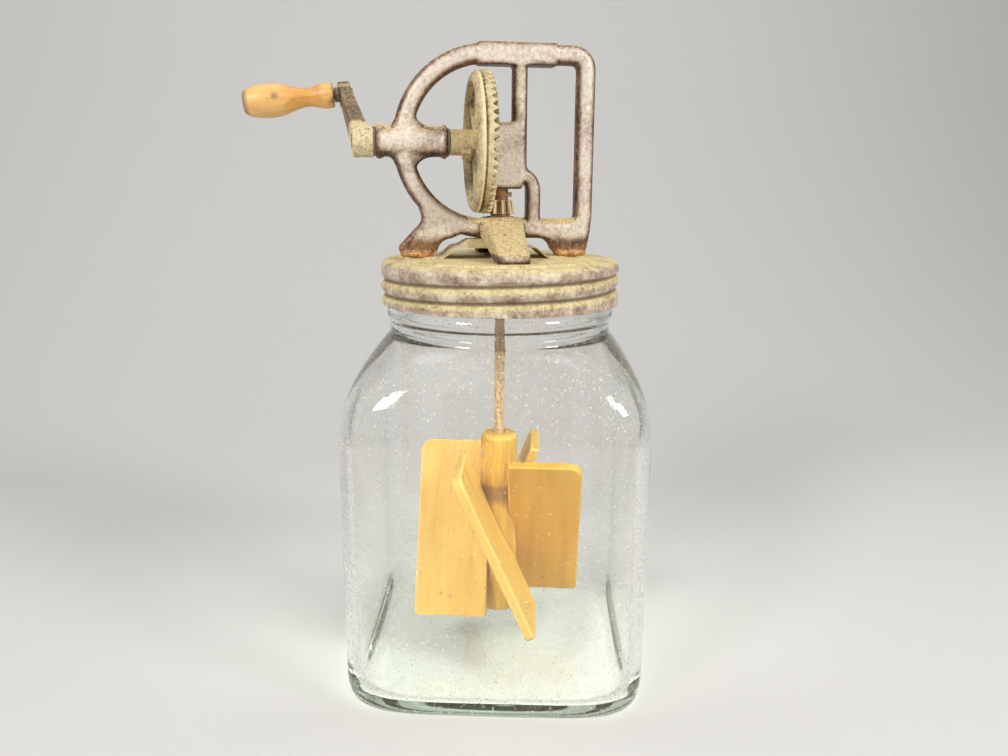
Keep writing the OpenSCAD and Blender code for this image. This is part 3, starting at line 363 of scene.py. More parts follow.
def glassFinish():
    finish, b = newFinish("dustyGlass")
    place = b.objectPlace()
    soil = b.attribute("soil")
    smear = b.attribute("smear")
    cloud = b.noise(place, 24, 4, 0.6)
    fine = b.noise(place, 260, 3, 0.6)

    # a round speck in some of the cells, and in more of them where the glass is soiled
    def specks(spot, scale, size, soilShare, limits):
        cell = b.cells(spot, scale)
        present = b.node("ShaderNodeTexWhiteNoise", {"noise_dimensions": "3D"},
                         {"Vector": cell.other("Position")})
        return b.step(cell, *size) * b.step(present + soil * soilShare, *limits)

    dot = specks(place, 420, (0.30, 0.12), 0.62, (0.88, 0.98))
    shifted = b.node("ShaderNodeVectorMath", {"operation": "ADD"}, {0: place, 1: glassLook["bigSpeckShift"]})
    bigDot = specks(shifted, 150, (0.085, 0.045), 0.3, (0.93, 0.97))
    streak = b.noise(b.stretched(place, (1, 1, 2.2)), 130, 5, 0.7, 0.6)
    smudge = b.step(streak, 0.5, 0.72) * smear
    haze = b.step(cloud, 0.45, 0.8) * soil * 0.07 + smudge * 0.30 + 0.006
    film = b.clamp(dot * 0.62 + bigDot * 0.8 + haze * (0.6 + fine * 0.8))
    glass = principled(b, {"Base Color": (1, 1, 1, 1), "Roughness": 0.0, "IOR": glassLook["ior"],
                           "Transmission Weight": 1.0})
    dust = principled(b, {"Base Color": (*glassLook["speck"], 1), "Roughness": 0.9})
    dirty = b.node("ShaderNodeMixShader", {}, {0: film, 1: glass, 2: dust})
    lampRay = b.node("ShaderNodeLightPath", out="Is Shadow Ray")
    clear = b.node("ShaderNodeBsdfTransparent", {}, {"Color": glassLook["shadowTint"]})
    surface = b.node("ShaderNodeMixShader", {}, {0: lampRay, 1: dirty, 2: clear})
    volume = b.node("ShaderNodeVolumeAbsorption", {}, {"Color": glassLook["cast"],
                                                       "Density": glassLook["castDensity"]})
    b.node("ShaderNodeOutputMaterial", {}, {"Surface": surface, "Volume": volume})
    return finish


rubberLook = {"dark": (0.10, 0.045, 0.03), "pale": (0.22, 0.115, 0.08)}


def rubberFinish():
    finish, b = newFinish("oldRubber")
    speck = b.noise(b.objectPlace(), 700, 3)
    colour = b.mixColour(speck, rubberLook["dark"], rubberLook["pale"])
    return plainFinish(finish, b, {"Base Color": colour, "Roughness": 0.75,
                                   "Normal": b.bump(speck, 0.3, 0.0003)})


# Meshes
weldGap = 1e-6
sliver = 1e-7


def newPiece(name, mesh):
    piece = bpy.data.objects.new(name, mesh)
    scene.collection.objects.link(piece)
    return piece


# the evaluated object as a plain mesh with no modifiers
def flatten(piece):
    made = bpy.data.meshes.new_from_object(piece.evaluated_get(bpy.context.evaluated_depsgraph_get()))
    old = piece.data
    piece.modifiers.clear()
    piece.data = made
    bpy.data.meshes.remove(old)


def setFinish(piece, finish):
    piece.data.materials.clear()
    piece.data.materials.append(finish)
    for face in piece.data.polygons:
        face.use_smooth = True


def vectorsOf(items, field):
    flat = np.zeros(len(items) * 3, np.float32)
    items.foreach_get(field, flat)
    return flat.reshape(-1, 3).astype(float)


def pointsOf(mesh):
    return vectorsOf(mesh.vertices, "co")


def normalsOf(mesh):
    return vectorsOf(mesh.vertex_normals, "vector")


def movePoints(mesh, places):
    mesh.vertices.foreach_set("co", places.astype(np.float32).ravel())
    mesh.update()


def paint(mesh, name, values, kind="FLOAT"):
    layer = mesh.attributes.get(name) or mesh.attributes.new(name, kind, "POINT")
    field = "vector" if kind == "FLOAT_VECTOR" else "value"
    layer.data.foreach_set(field, np.asarray(values, np.float32).ravel())


def ramp(values, low, high):
    t = np.clip((np.asarray(values) - low) / (high - low), 0, 1)
    return t * t * (3 - 2 * t)


# each point's value, averaged with its neighbours' over a number of rounds
def spread(mesh, values, rounds):
    edges = np.zeros(len(mesh.edges) * 2, np.int32)
    mesh.edges.foreach_get("vertices", edges)
    first, second = edges.reshape(-1, 2).T
    count = len(mesh.vertices)
    degree = np.maximum(np.bincount(first, minlength=count) + np.bincount(second, minlength=count), 1)
    for turn in range(rounds):
        total = np.zeros_like(values)
        for axis in range(values.shape[1]):
            total[:, axis] = (np.bincount(first, values[second, axis], count)
                              + np.bincount(second, values[first, axis], count))
        values = total / degree[:, None]
    return values


# how far each point stands out of its neighbours, positive on edges and negative in hollows
def convexity(mesh, rounds=3):
    places = pointsOf(mesh)
    return np.sum((places - spread(mesh, places, rounds)) * normalsOf(mesh), axis=1)


# a welded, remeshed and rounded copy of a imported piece, grown back by what the rounding takes
def roundedCopy(node, name, plan):
    mesh = nodes[node].data.copy()
    mesh.name = name
    bm = bmesh.new()
    bm.from_mesh(mesh)
    bmesh.ops.remove_doubles(bm, verts=bm.verts, dist=weldGap)
    bm.to_mesh(mesh)
    bm.free()
    piece = newPiece(name, mesh)
    remesh = piece.modifiers.new("voxels", "REMESH")
    remesh.mode = "VOXEL"
    remesh.voxel_size = plan["voxel"]
    smooth = piece.modifiers.new("rounding", "SMOOTH")
    smooth.factor = 0.5
    smooth.iterations = plan["rounds"]
    flatten(piece)
    if "grow" in plan:
        movePoints(piece.data, pointsOf(piece.data) + normalsOf(piece.data) * plan["grow"])
    return piece


def seat(piece, node, body):
    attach(piece, body)
    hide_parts(node)


# Shape trees: named inputs, and one realized shape that carries its finish
def newTree(name, inputs):
    tree = bpy.data.node_groups.new(name, "GeometryNodeTree")
    for label, kind in (*inputs, ("Finish", "Material")):
        tree.interface.new_socket(label, in_out="INPUT", socket_type="NodeSocket" + kind)
    tree.interface.new_socket("Shape", in_out="OUTPUT", socket_type="NodeSocketGeometry")
    b = Builder(tree)
    return b, b.node("NodeGroupInput")


def endTree(b, given, shape):
    whole = b.node("GeometryNodeRealizeInstances", {}, {"Geometry": shape})
    done = b.node("GeometryNodeSetMaterial", {}, {"Geometry": whole, "Material": given.other("Finish")})
    b.node("NodeGroupOutput", {}, {"Shape": done})
    return b.tree


# runs a tree on a piece and keeps what it makes as a plain mesh
def runTree(piece, tree, values):
    modifier = piece.modifiers.new("shape", "NODES")
    modifier.node_group = tree
    for item in tree.interface.items_tree:
        if item.in_out == "INPUT" and item.name in values:
            modifier[item.identifier] = values[item.name]
    flatten(piece)


# Turned shapes: a profile of radius and height, with helical beads where its bead attribute is 1
def turnedTree():
    inputs = [("Profile", "Geometry"), ("Segments", "Int"), ("Bead Depth", "Float"), ("Pitch", "Float"),
              ("Bead Height", "Float"), ("Bead Power", "Float")]
    b, given = newTree("turnedShape", inputs)
    profile = given.other("Profile")
    segments = given.other("Segments")
    count = b.node("GeometryNodeAttributeDomainSize", {"component": "MESH"}, {"Geometry": profile},
                   "Point Count")
    grid = b.node("GeometryNodeMeshGrid", {}, {"Vertices X": segments + 1, "Vertices Y": count})
    index = b.node("GeometryNodeInputIndex")
    row = index % count
    column = b.maths("FLOOR", (index + 0.5) / count)
    angle = column / segments * (2 * math.pi)

    def sampled(value, kind):
        return b.node("GeometryNodeSampleIndex", {"data_type": kind, "domain": "POINT"},
                      {"Geometry": profile, "Value": value, "Index": row})

    spot = sampled(b.node("GeometryNodeInputPosition"), "FLOAT_VECTOR")
    apart = b.node("ShaderNodeSeparateXYZ", {}, {0: spot})
    height = apart.other("Z")
    marked = b.node("GeometryNodeInputNamedAttribute", {"data_type": "FLOAT"}, {"Name": "beadShare"})
    share = sampled(marked, "FLOAT")
    turns = (height - given.other("Bead Height")) / given.other("Pitch") - angle / (2 * math.pi)
    bead = (0.5 + 0.5 * b.maths("COSINE", turns * (2 * math.pi))) ** given.other("Bead Power")
    radius = apart - given.other("Bead Depth") * (1 - bead) * share
    place = b.node("ShaderNodeCombineXYZ", {}, {0: radius * b.maths("COSINE", angle),
                                                1: radius * b.maths("SINE", angle), 2: height})
    # store while the grid's own numbering still holds, then place and close the seam
    stored = b.node("GeometryNodeStoreNamedAttribute", {"data_type": "FLOAT", "domain": "POINT"},
                    {"Geometry": grid, "Name": "bead", "Value": 1 - (1 - bead) * share})
    placed = b.node("GeometryNodeSetPosition", {}, {"Geometry": stored, "Position": place})
    closed = b.node("GeometryNodeMergeByDistance", {}, {"Geometry": placed, "Distance": weldGap})
    return endTree(b, given, closed)


turned = turnedTree()


# profile is a list of (radius, height, bead share); a closed one makes a solid ring
def turnedPiece(name, profile, finish, segments, beadDepth=0.0, pitch=1.0, beadHeight=0.0, beadPower=1.0):
    mesh = bpy.data.meshes.new(name)
    links = [(i, i + 1) for i in range(len(profile) - 1)]
    mesh.from_pydata([(r, 0, z) for r, z, share in profile], links, [])
    paint(mesh, "beadShare", [share for r, z, share in profile])
    piece = newPiece(name, mesh)
    runTree(piece, turned, {"Segments": segments, "Bead Depth": beadDepth, "Pitch": pitch,
                            "Bead Height": beadHeight, "Bead Power": beadPower, "Finish": finish})
    bm = bmesh.new()
    bm.from_mesh(piece.data)
    bmesh.ops.remove_doubles(bm, verts=bm.verts, dist=sliver)
    bmesh.ops.dissolve_degenerate(bm, edges=bm.edges, dist=sliver)
    bmesh.ops.recalc_face_normals(bm, faces=bm.faces)
    bm.to_mesh(piece.data)
    bm.free()
    setFinish(piece, finish)
    return piece


# Crumbs and fibres of dust, scattered where a piece's crumb attribute is high
def scatterTree():
    inputs = [("Host", "Geometry"), ("Density", "Float"), ("Least Size", "Float"), ("Most Size", "Float"),
              ("Stretch", "Float"), ("Seed", "Int")]
    b, given = newTree("dustScatter", inputs)
    seed = given.other("Seed")
    dust = b.node("GeometryNodeInputNamedAttribute", {"data_type": "FLOAT"}, {"Name": "crumb"})
    spots = b.node("GeometryNodeDistributePointsOnFaces", {"distribute_method": "RANDOM"},
                   {"Mesh": given.other("Host"), "Density": given.other("Density") * dust, "Seed": seed})
    size = b.node("FunctionNodeRandomValue", {"data_type": "FLOAT"},
                  {2: given.other("Least Size"), 3: given.other("Most Size"), "Seed": seed}, 1)
    tilt = b.node("FunctionNodeRandomValue", {"data_type": "FLOAT_VECTOR"},
                  {0: (-1.1, -1.1, 0), 1: (1.1, 1.1, 6.28), "Seed": seed + 1})
    scale = b.node("ShaderNodeCombineXYZ", {}, {0: size, 1: size, 2: size * given.other("Stretch")})
    grain = b.node("GeometryNodeMeshIcoSphere", {}, {"Radius": 1.0, "Subdivisions": 1})
    many = b.node("GeometryNodeInstanceOnPoints", {}, {"Points": spots, "Instance": grain, "Rotation": tilt,
                                                       "Scale": scale})
    return endTree(b, given, many)


scatter = scatterTree()


def scatterOn(host, name, body, density, sizes, stretch, seed, finish):
    piece = newPiece(name, host.data.copy())
    runTree(piece, scatter, {"Density": density, "Least Size": sizes[0], "Most Size": sizes[1],
                             "Stretch": stretch, "Seed": seed, "Finish": finish})
    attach(piece, body)
    return piece


# The glass jar: square rings that turn round towards the neck, outside and inside
jar = {"halfWidth": 0.089, "wall": 0.005, "floor": 0.008, "squareness": 8.0, "baseSquareness": 5.0,
       "heelInset": 0.0075, "heelHeight": 0.020, "shoulderZ": 0.160, "neckZ": 0.216, "rimZ": 0.256,
       "neckRadius": 0.0673, "neckBead": 0.0017, "beadLowZ": 0.2231, "beadHeight": 0.009,
       "rimRound": 0.0015, "threadRoot": 0.0683, "threadRise": 0.0017, "threadPitch": 0.009,
       "threadZero": 0.23915, "threadLift": 0.0012, "threadFirst": -0.3, "threadTurns": 1.25,
       "threadHalf": 0.0026, "threadFade": 0.08, "turn": -11.4, "around": 288, "baseLift": 0.0012,
       "wobble": 0.00016, "wobbleScale": 26}


def mix(first, second, t):
    return first + (second - first) * t


# sine and cosine of a share of a quarter turn
def quarter(t):
    return math.sin(t * math.pi / 2), math.cos(t * math.pi / 2)


# rows of height, half width, squareness and thread share, from the middle of the base to that of the floor
def jarSection():
    j = jar
    half = j["halfWidth"]
    rows = []
    foot = half - j["heelInset"]
    for t in np.linspace(0.03, 0.97, 9):
        rows.append((j["baseLift"] * (1 - t ** 4), foot * t, j["baseSquareness"], 0))

    def heel(deep, low):
        made = []
        for t in np.linspace(0, 1, 16):
            width = half - deep - j["heelInset"] * (1 - t) ** 2.5
            square = mix(j["baseSquareness"], j["squareness"], t)
            made.append((low + j["heelHeight"] * t ** 1.8, width, square, 0))
        return made

    def shoulder(deep):
        made = []
        for t in np.linspace(0, 1, 40):
            width = mix(half, j["neckRadius"], t ** 2.3) - deep
            made.append((mix(j["shoulderZ"], j["neckZ"], t), width, mix(j["squareness"], 2, t ** 1.6), 0))
        return made

    def wallRows(deep, low):
        return [(z, half - deep, j["squareness"], 0) for z in np.linspace(low, j["shoulderZ"], 14)[1:-1]]

    rows += heel(0, 0) + wallRows(0, j["heelHeight"]) + shoulder(0)
    rows += [(z, j["neckRadius"], 2, 0) for z in np.linspace(j["neckZ"], j["beadLowZ"], 5)[1:-1]]
    for t in np.linspace(0, 1, 15):
        rows.append((j["beadLowZ"] + t * j["beadHeight"],
                     j["neckRadius"] + j["neckBead"] * math.sin(math.pi * t), 2, 0))
    threadLowZ = j["beadLowZ"] + j["beadHeight"] + j["threadLift"]
    threadTopZ = j["rimZ"] - 2 * j["rimRound"]
    rows += [(z, j["threadRoot"], 2, 1) for z in np.linspace(threadLowZ, threadTopZ, 34)]
    mouth = j["neckRadius"] - j["wall"]
    for edge, side, ends in ((j["neckRadius"], -1, (0, 1)), (mouth, 1, (1, 0))):
        for t in np.linspace(*ends, 6):
            rise, run = quarter(t)
            rows.append((j["rimZ"] - j["rimRound"] * (1 - rise),
                         edge + side * j["rimRound"] * (1 - run), 2, 0))
    rows += [(z, mouth, 2, 0) for z in np.linspace(j["rimZ"] - j["rimRound"], j["neckZ"], 8)[1:-1]]
    rows += shoulder(j["wall"])[::-1] + wallRows(j["wall"], j["heelHeight"] + j["floor"])[::-1]
    rows += heel(j["wall"], j["floor"])[::-1]
    inner = half - j["wall"] - j["heelInset"]
    rows += [(j["floor"], inner * t, j["baseSquareness"], 0) for t in np.linspace(0.97, 0.03, 8)]
    return rows


def jarRidge(z, angle):
    j = jar
    best = np.zeros_like(angle)
    for turnCount in range(-1, 3):
        t = angle / (2 * math.pi) + turnCount
        ends = ramp(t - j["threadFirst"], 0, j["threadFade"])
        ends = ends * ramp(j["threadFirst"] + j["threadTurns"] - t, 0, j["threadFade"])
        off = (z - j["threadZero"] - j["threadPitch"] * t) / j["threadHalf"]
        best = np.maximum(best, ends * np.maximum(0, 1 - off * off))
    return best


def buildJar():
    rows = jarSection()
    around = jar["around"]
    local = np.arange(around) * 2 * math.pi / around
    angle = local + math.radians(jar["turn"])
    rings = []
    for z, width, power, thread in rows:
        radius = width * (np.abs(np.cos(local)) ** power + np.abs(np.sin(local)) ** power) ** (-1 / power)
        if thread:
            radius = radius + jar["threadRise"] * jarRidge(z, angle)
        rings.append(np.stack([radius * np.cos(angle), radius * np.sin(angle), np.full(around, z)], 1))
    points = np.concatenate(rings)
    # pressed glass is never quite true
    for i, p in enumerate(points):
        if p[2] < jar["neckZ"]:
            wave = noise.noise(Vector(p) * jar["wobbleScale"]) * jar["wobble"]
            points[i, 0] += wave * p[0] / jar["halfWidth"]
            points[i, 1] += wave * p[1] / jar["halfWidth"]
    faces = []
    for ring in range(len(rings) - 1):
        low = ring * around
        for i in range(around):
            k = (i + 1) % around
            faces.append((low + i, low + k, low + around + k, low + around + i))
    last = (len(rings) - 1) * around
    bottom = len(points)
    faces += [(bottom, (i + 1) % around, i) for i in range(around)]
    faces += [(bottom + 1, last + i, last + (i + 1) % around) for i in range(around)]
    centres = np.array([[0, 0, rows[0][0]], [0, 0, rows[-1][0]]])
    mesh = bpy.data.meshes.new("glassJar")
    mesh.from_pydata(np.concatenate([points, centres]).tolist(), [], faces)
    mesh.update()
    piece = newPiece("glassJar", mesh)
    setFinish(piece, glassFinish())
    paintJar(mesh)
    seat(piece, "glass_jar", "jar")


# soil gathers low on the walls, at the corners and on the shoulder, where the smears lie too
soilPlan = {"cornerIn": 0.045, "cornerOut": 0.078, "lowZ": 0.01, "lowTopZ": 0.075, "highZ": 0.15,
            "highTopZ": 0.2, "floorZ": 0.02, "floorTopZ": 0.03, "cleanZ": 0.236, "lidEdgeZ": 0.22}
smears = [{"middle": (-0.036, -0.066, 0.196), "reach": 0.024},
          {"middle": (0.034, -0.068, 0.193), "reach": 0.02},
          {"middle": (-0.075, -0.02, 0.19), "reach": 0.028},
          {"middle": (0.076, 0.01, 0.188), "reach": 0.03}]


def paintJar(mesh):
    s = soilPlan
    places = pointsOf(mesh)
    spin = math.radians(-jar["turn"])
    x = places[:, 0] * math.cos(spin) - places[:, 1] * math.sin(spin)
    y = places[:, 0] * math.sin(spin) + places[:, 1] * math.cos(spin)
    z = places[:, 2]
    corner = ramp(np.minimum(np.abs(x), np.abs(y)), s["cornerIn"], s["cornerOut"])
    low = ramp(z, s["lowTopZ"], s["lowZ"])
    high = ramp(z, s["highZ"], s["highTopZ"]) * 0.55
    level = ramp(np.abs(normalsOf(mesh)[:, 2]), 0.5, 0.8) * ramp(z, s["floorTopZ"], s["floorZ"])
    soil = np.clip(0.10 + 0.35 * low + 0.55 * corner + high, 0, 1)
    paint(mesh, "soil", soil * ramp(z, s["cleanZ"], s["lidEdgeZ"]) * (1 - 0.9 * level))
    smear = np.zeros(len(places))
    for patch in smears:
        away = np.linalg.norm(places - np.array(patch["middle"]), axis=1)
        smear = np.maximum(smear, ramp(away, patch["reach"], patch["reach"] * 0.25))
    paint(mesh, "smear", smear)


# The screw lid: one closed section of sheet, rolled into helical beads
lid = {"topZ": 0.2594, "skirt": 0.0257, "sheet": 0.001, "beadRadius": 0.0723, "groove": 0.0022,
       "pitch": 0.009, "edgeRound": 0.0042, "band": 0.008, "blend": 0.0025, "rim": 0.002,
       "panelRise": 0.0011, "panelBlend": 0.0006, "panelRadius": 0.059, "holeRadius": 0.00706,
       "beadPower": 0.6, "beadLift": 0.00545, "segments": 224, "crumbs": (0.02, 0.03),
       "topFade": (0.0012, 0.0002), "ledgeFade": (0.004, 0.0085)}


def lidProfile():
    d = lid
    low = d["topZ"] - d["skirt"]
    outside = []
    for z in np.linspace(low, d["topZ"] - d["edgeRound"], 56):
        share = (1 - ramp(z, d["topZ"] - d["band"], d["topZ"] - d["band"] + d["blend"]))
        share = share * ramp(z, low + d["rim"], low + d["rim"] + d["blend"])
        outside.append((d["beadRadius"], z, float(share)))
    for t in np.linspace(0, math.pi / 2, 8)[1:]:
        outside.append((d["beadRadius"] - d["edgeRound"] * (1 - math.cos(t)),
                        d["topZ"] - d["edgeRound"] * (1 - math.sin(t)), 0.0))
    step = d["panelRise"] + d["panelBlend"]
    for r in np.linspace(d["beadRadius"] - d["edgeRound"], d["panelRadius"] + step, 6)[1:]:
        outside.append((r, d["topZ"], 0.0))
    for t in np.linspace(0, 1, 6)[1:]:
        rise = t * t * (3 - 2 * t)
        outside.append((d["panelRadius"] + step * (1 - t), d["topZ"] + d["panelRise"] * rise, 0.0))
    for r in np.linspace(d["panelRadius"], d["holeRadius"], 26)[1:]:
        outside.append((r, d["topZ"] + d["panelRise"], 0.0))
    inside = []
    for r, z, share in outside[::-1]:
        centreR = d["beadRadius"] - d["edgeRound"]
        centreZ = d["topZ"] - d["edgeRound"]
        if r < centreR + weldGap:
            inside.append((r, z - d["sheet"], share))
        elif z < centreZ + weldGap:
            inside.append((r - d["sheet"], z, share))
        else:
            reach = (d["edgeRound"] - d["sheet"]) / d["edgeRound"]
            inside.append((centreR + (r - centreR) * reach, centreZ + (z - centreZ) * reach, share))
    return outside + inside + outside[:1]


def buildLid(finish):
    low = lid["topZ"] - lid["skirt"]
    piece = turnedPiece("screwLid", lidProfile(), finish, lid["segments"], lid["groove"], lid["pitch"],
                        low + lid["beadLift"], lid["beadPower"])
    mesh = piece.data
    places = pointsOf(mesh)
    reach = np.hypot(places[:, 0], places[:, 1])
    drop = lid["topZ"] - places[:, 2]
    up = normalsOf(mesh)[:, 2]
    onTop = ramp(drop, *lid["topFade"]) * ramp(up, 0.3, 0.8)
    ledge = 0.08 + 0.82 * ramp(up, -0.15, 0.55) * ramp(drop, *lid["ledgeFade"])
    edge = 0.8 * ramp(up, 0.1, 0.85)
    paint(mesh, "dust", np.clip(np.maximum(onTop * 0.92, np.maximum(ledge, edge) * (1 - onTop)), 0, 1))
    paint(mesh, "crumb", onTop * ramp(reach, *lid["crumbs"]))
    seat(piece, "screw_lid", "lid")
    return piece


# Cast pieces: rounded copies with dust where they face up, rust at the feet, and edges paler with wear and
# painted highlight; painted light also makes their fronts paler, and painted shade makes their sides,
# undersides and hollows darker
def castCopy(node, name, plan, finish):
    piece = roundedCopy(node, name, plan)
    setFinish(piece, finish)
    mesh = piece.data
    places = pointsOf(mesh)
    normals = normalsOf(mesh)
    up = normals[:, 2]
    bulge = convexity(mesh) / plan["edgeScale"]
    paint(mesh, "edge", np.clip(bulge, 0, 1))
    paint(mesh, "hollow", np.clip(-bulge, 0, 1))
    # painted light: softened normals, so a bar is painted paler towards its middle as a lit rounded one is,
    # with painted shade on its sides and undersides and a painted highlight on its edges
    facing = spread(mesh, normals, plan.get("softRounds", 0))
    front = ramp(np.abs(facing[:, 1]), 0.36, 0.96) ** 1.7
    under = ramp(-up, 0.1, 0.7) * (1 - 0.6 * ramp(front, 0.5, 0.95))
    shade = 0.10 + 0.76 * front + 0.12 * ramp(up, 0.2, 0.8) - 0.20 * under
    paint(mesh, "shade", shade + 0.12 * np.clip(bulge, -1, 1))
    paint(mesh, "dust", plan["dust"] * ramp(up, 0.35, 0.9))
    paint(mesh, "crumb", ramp(up, 0.75, 0.95))
    paint(mesh, "rust", np.zeros(len(places)))
    return piece, places, normals, shade


def jointOf(name):
    return next(joint for joint in frame["joints"] if joint["name"] == name)


shaftZ = jointOf("crank_turn")["pos_m"][2]


def fromShaft(places):
    return np.hypot(places[:, 1], places[:, 2] - shaftZ)


casting = {"voxel": 0.0008, "rounds": 14, "grow": 0.0003, "dust": 0.5, "edgeScale": 0.0003, "softRounds": 20,
           "footX": 0.025, "footTop": 0.0105, "padZ": 0.2649, "legHalf": 0.0135, "legY": 0.0065,
           "legTopZ": 0.2835, "toeZ": 0.2632, "toeTopZ": 0.2668, "toeEndZ": 0.2606, "baseZ": 0.2835,
           "baseHalf": 0.0035, "baseX": -0.02, "bearingX": -0.03, "bearingHigh": 0.0125,
           "bearingDeep": 0.0105, "blockX": 0.0024, "blockHalf": 0.0115, "blockZ": 0.3, "blockTopZ": 0.3405}


def buildFrame(finish):
    c = casting
    piece, places, normals, shade = castCopy("cast_frame", "castFrame", c, finish)
    mesh = piece.data
    x, y, z = places.T
    up = normals[:, 2]
    side = np.abs(x) > c["footX"]
    leg = (np.abs(x) < c["legHalf"]) & (np.abs(y) > c["legY"]) & (z < c["legTopZ"])
    base = (np.abs(z - c["baseZ"]) < c["baseHalf"]) & (x > c["baseX"])
    bearing = (x < c["bearingX"]) & (np.abs(z - shaftZ) < c["bearingHigh"]) & (np.abs(y) < c["bearingDeep"])
    block = (np.abs(x - c["blockX"]) < c["blockHalf"]) & (z > c["blockZ"]) & (z < c["blockTopZ"])
    toe = ramp(z, c["toeZ"], c["toeTopZ"])
    lying = ramp(up, 0.3, 0.9)
    dust = np.where(leg, 0.04 + 0.86 * toe + 0.1 * lying, lying * 0.5)
    for region, least, more, low, high in ((base, 0, 0.95, 0.2, 0.7), (bearing, 0, 0.72, 0.3, 0.98),
                                           (block, 0.12, 0.8, 0.4, 0.8)):
        dust = np.where(region, np.maximum(dust, least + more * ramp(up, low, high)), dust)
    paint(mesh, "dust", dust)
    # the feet curve under, so painted shade darkens them towards their pads, where they rust too
    under = side * ramp(z, c["padZ"] + c["footTop"], c["padZ"] + 0.001)
    pads = side * ramp(z, c["padZ"] + 0.0008, c["padZ"] - 0.0006)
    paint(mesh, "rust", np.maximum(pads, 0.22 * under))
    # painted shade under the feet and towards the bottom of the leg's toe
    paint(mesh, "shade", shade - under - 0.25 * leg * ramp(z, c["toeZ"], c["toeEndZ"]))
    crumb = np.where(bearing | base | block, ramp(up, 0.5, 0.85), 0.10 * ramp(up, 0.85, 0.97))
    paint(mesh, "crumb", np.where(leg, 0.20 * ramp(up, 0.2, 0.6) * toe, crumb))
    seat(piece, "cast_frame", "lid")
    return piece


arm = {"voxel": 0.0005, "rounds": 8, "grow": 0.0001, "dust": 0.4, "edgeScale": 0.0002, "hubIn": 0.0105,
       "hubOut": 0.0145}


def buildArm(finish):
    piece, places, normals = castCopy("crank_arm", "crankArm", arm, finish)[:3]
    hub = ramp(fromShaft(places), arm["hubOut"], arm["hubIn"])
    up = ramp(normals[:, 2], 0.0, 0.8)
    paint(piece.data, "dust", np.clip(hub * 0.85 + (1 - hub) * up * 0.22, 0, 1))
    paint(piece.data, "crumb", hub * (0.6 + 0.4 * up))
    seat(piece, "crank_arm", "crank")
    return piece


gear = {"voxel": 0.00049, "rounds": 3, "dust": 0.5, "edgeScale": 0.00021, "grooveX": -0.01355,
        "ridgeX": -0.0149, "hubIn": 0.009, "hubOut": 0.012, "dishIn": 0.032, "dishOut": 0.034,
        "litDishLowZ": 0.324, "litDishTopZ": 0.338, "rimIn": 0.036, "rimOut": 0.038, "grooveFade": (0.0009, 0.0003),
        "ridgeFade": (0.0010, 0.0003)}


def buildGear(finish):
    g = gear
    piece, places, normals = castCopy("drive_gear", "driveGear", g, finish)[:3]
    mesh = piece.data
    x = places[:, 0]
    reach = fromShaft(places)
    hub = ramp(reach, g["hubOut"], g["hubIn"])
    up = ramp(normals[:, 2], 0.2, 0.9)
    # painted light: the upper half of the dish is painted pale through the dust attribute, and less of the
    # hollows' painted shade falls there
    litDish = ramp(-normals[:, 0], 0.3, 0.7) * ramp(reach, g["dishOut"], g["dishIn"])
    litDish = litDish * ramp(places[:, 2], g["litDishLowZ"], g["litDishTopZ"])
    paint(mesh, "dust", np.clip(up * 0.5 + hub * 0.45 + litDish * 0.7, 0, 1))
    # painted shade in the hollows and in a dark groove beside the teeth, and a bright ridge of painted
    # highlight along the rim's shoulder
    rim = ramp(reach, g["rimIn"], g["rimOut"])
    groove = rim * ramp(np.abs(x - g["grooveX"]), *g["grooveFade"])
    ridge = rim * ramp(np.abs(x - g["ridgeX"]), *g["ridgeFade"])
    bulge = convexity(mesh) / g["edgeScale"]
    paint(mesh, "hollow", np.clip(np.maximum(-bulge * (1 - 0.6 * litDish), groove), 0, 1))
    paint(mesh, "edge", np.clip(np.maximum(bulge * 0.5, ridge), 0, 1) * (1 - groove))
    paint(mesh, "crumb", hub * up)
    seat(piece, "drive_gear", "crank")
    return piece


pinion = {"voxel": 0.00024, "rounds": 2, "dust": 0.45, "edgeScale": 0.00007, "teeth": 0.0093,
          "hubBlend": 0.0008, "rootIn": 0.0066, "rootOut": 0.0078}


def buildPinion(finish):
    piece, places = castCopy("pinion", "pinion.teeth", pinion, finish)[:2]
    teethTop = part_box("pinion")[0].z + pinion["teeth"]
    hub = ramp(places[:, 2], teethTop, teethTop + pinion["hubBlend"])
    root = ramp(np.hypot(places[:, 0], places[:, 1]), pinion["rootOut"], pinion["rootIn"])
    paint(piece.data, "rust", np.clip(hub + root * 0.8, 0, 1))
    seat(piece, "pinion", "dasher")


gearScrew = {"voxel": 0.00022, "rounds": 4, "dust": 0.6, "edgeScale": 0.0001}


def buildGearScrew(finish):
    piece = castCopy("gear_screw", "gearScrew", gearScrew, finish)[0]
    seat(piece, "gear_screw", "crank")


# Wooden pieces: grain is each point's own place along and across the piece
grip = {"length": 0.056, "swell": 0.0105, "waist": 0.0057, "flare": 0.008, "swellAt": 0.31, "waistAt": 0.72,
        "flareInset": 0.004, "flareRound": 0.0013, "recessRadius": 0.0044, "recessDepth": 0.0036,
        "recessEdge": 0.0003, "bore": 0.00258, "tipEdge": 0.0009, "collar": 0.0033, "segments": 96,
        "wornEdge": 0.00006, "grainShift": (0.05, 0.013, 0.0), "noseMark": (0.0042, 0.001),
        "endMark": (0.0022, 0.0004), "spotsFrom": 0.006}
gripSpots = [{"along": 0.020, "angle": -1.75, "reach": 0.0032, "solid": 0.0008, "depth": 0.7},
             {"along": 0.021, "angle": -2.9, "reach": 0.0022, "solid": 0.0005, "depth": 0.55}]


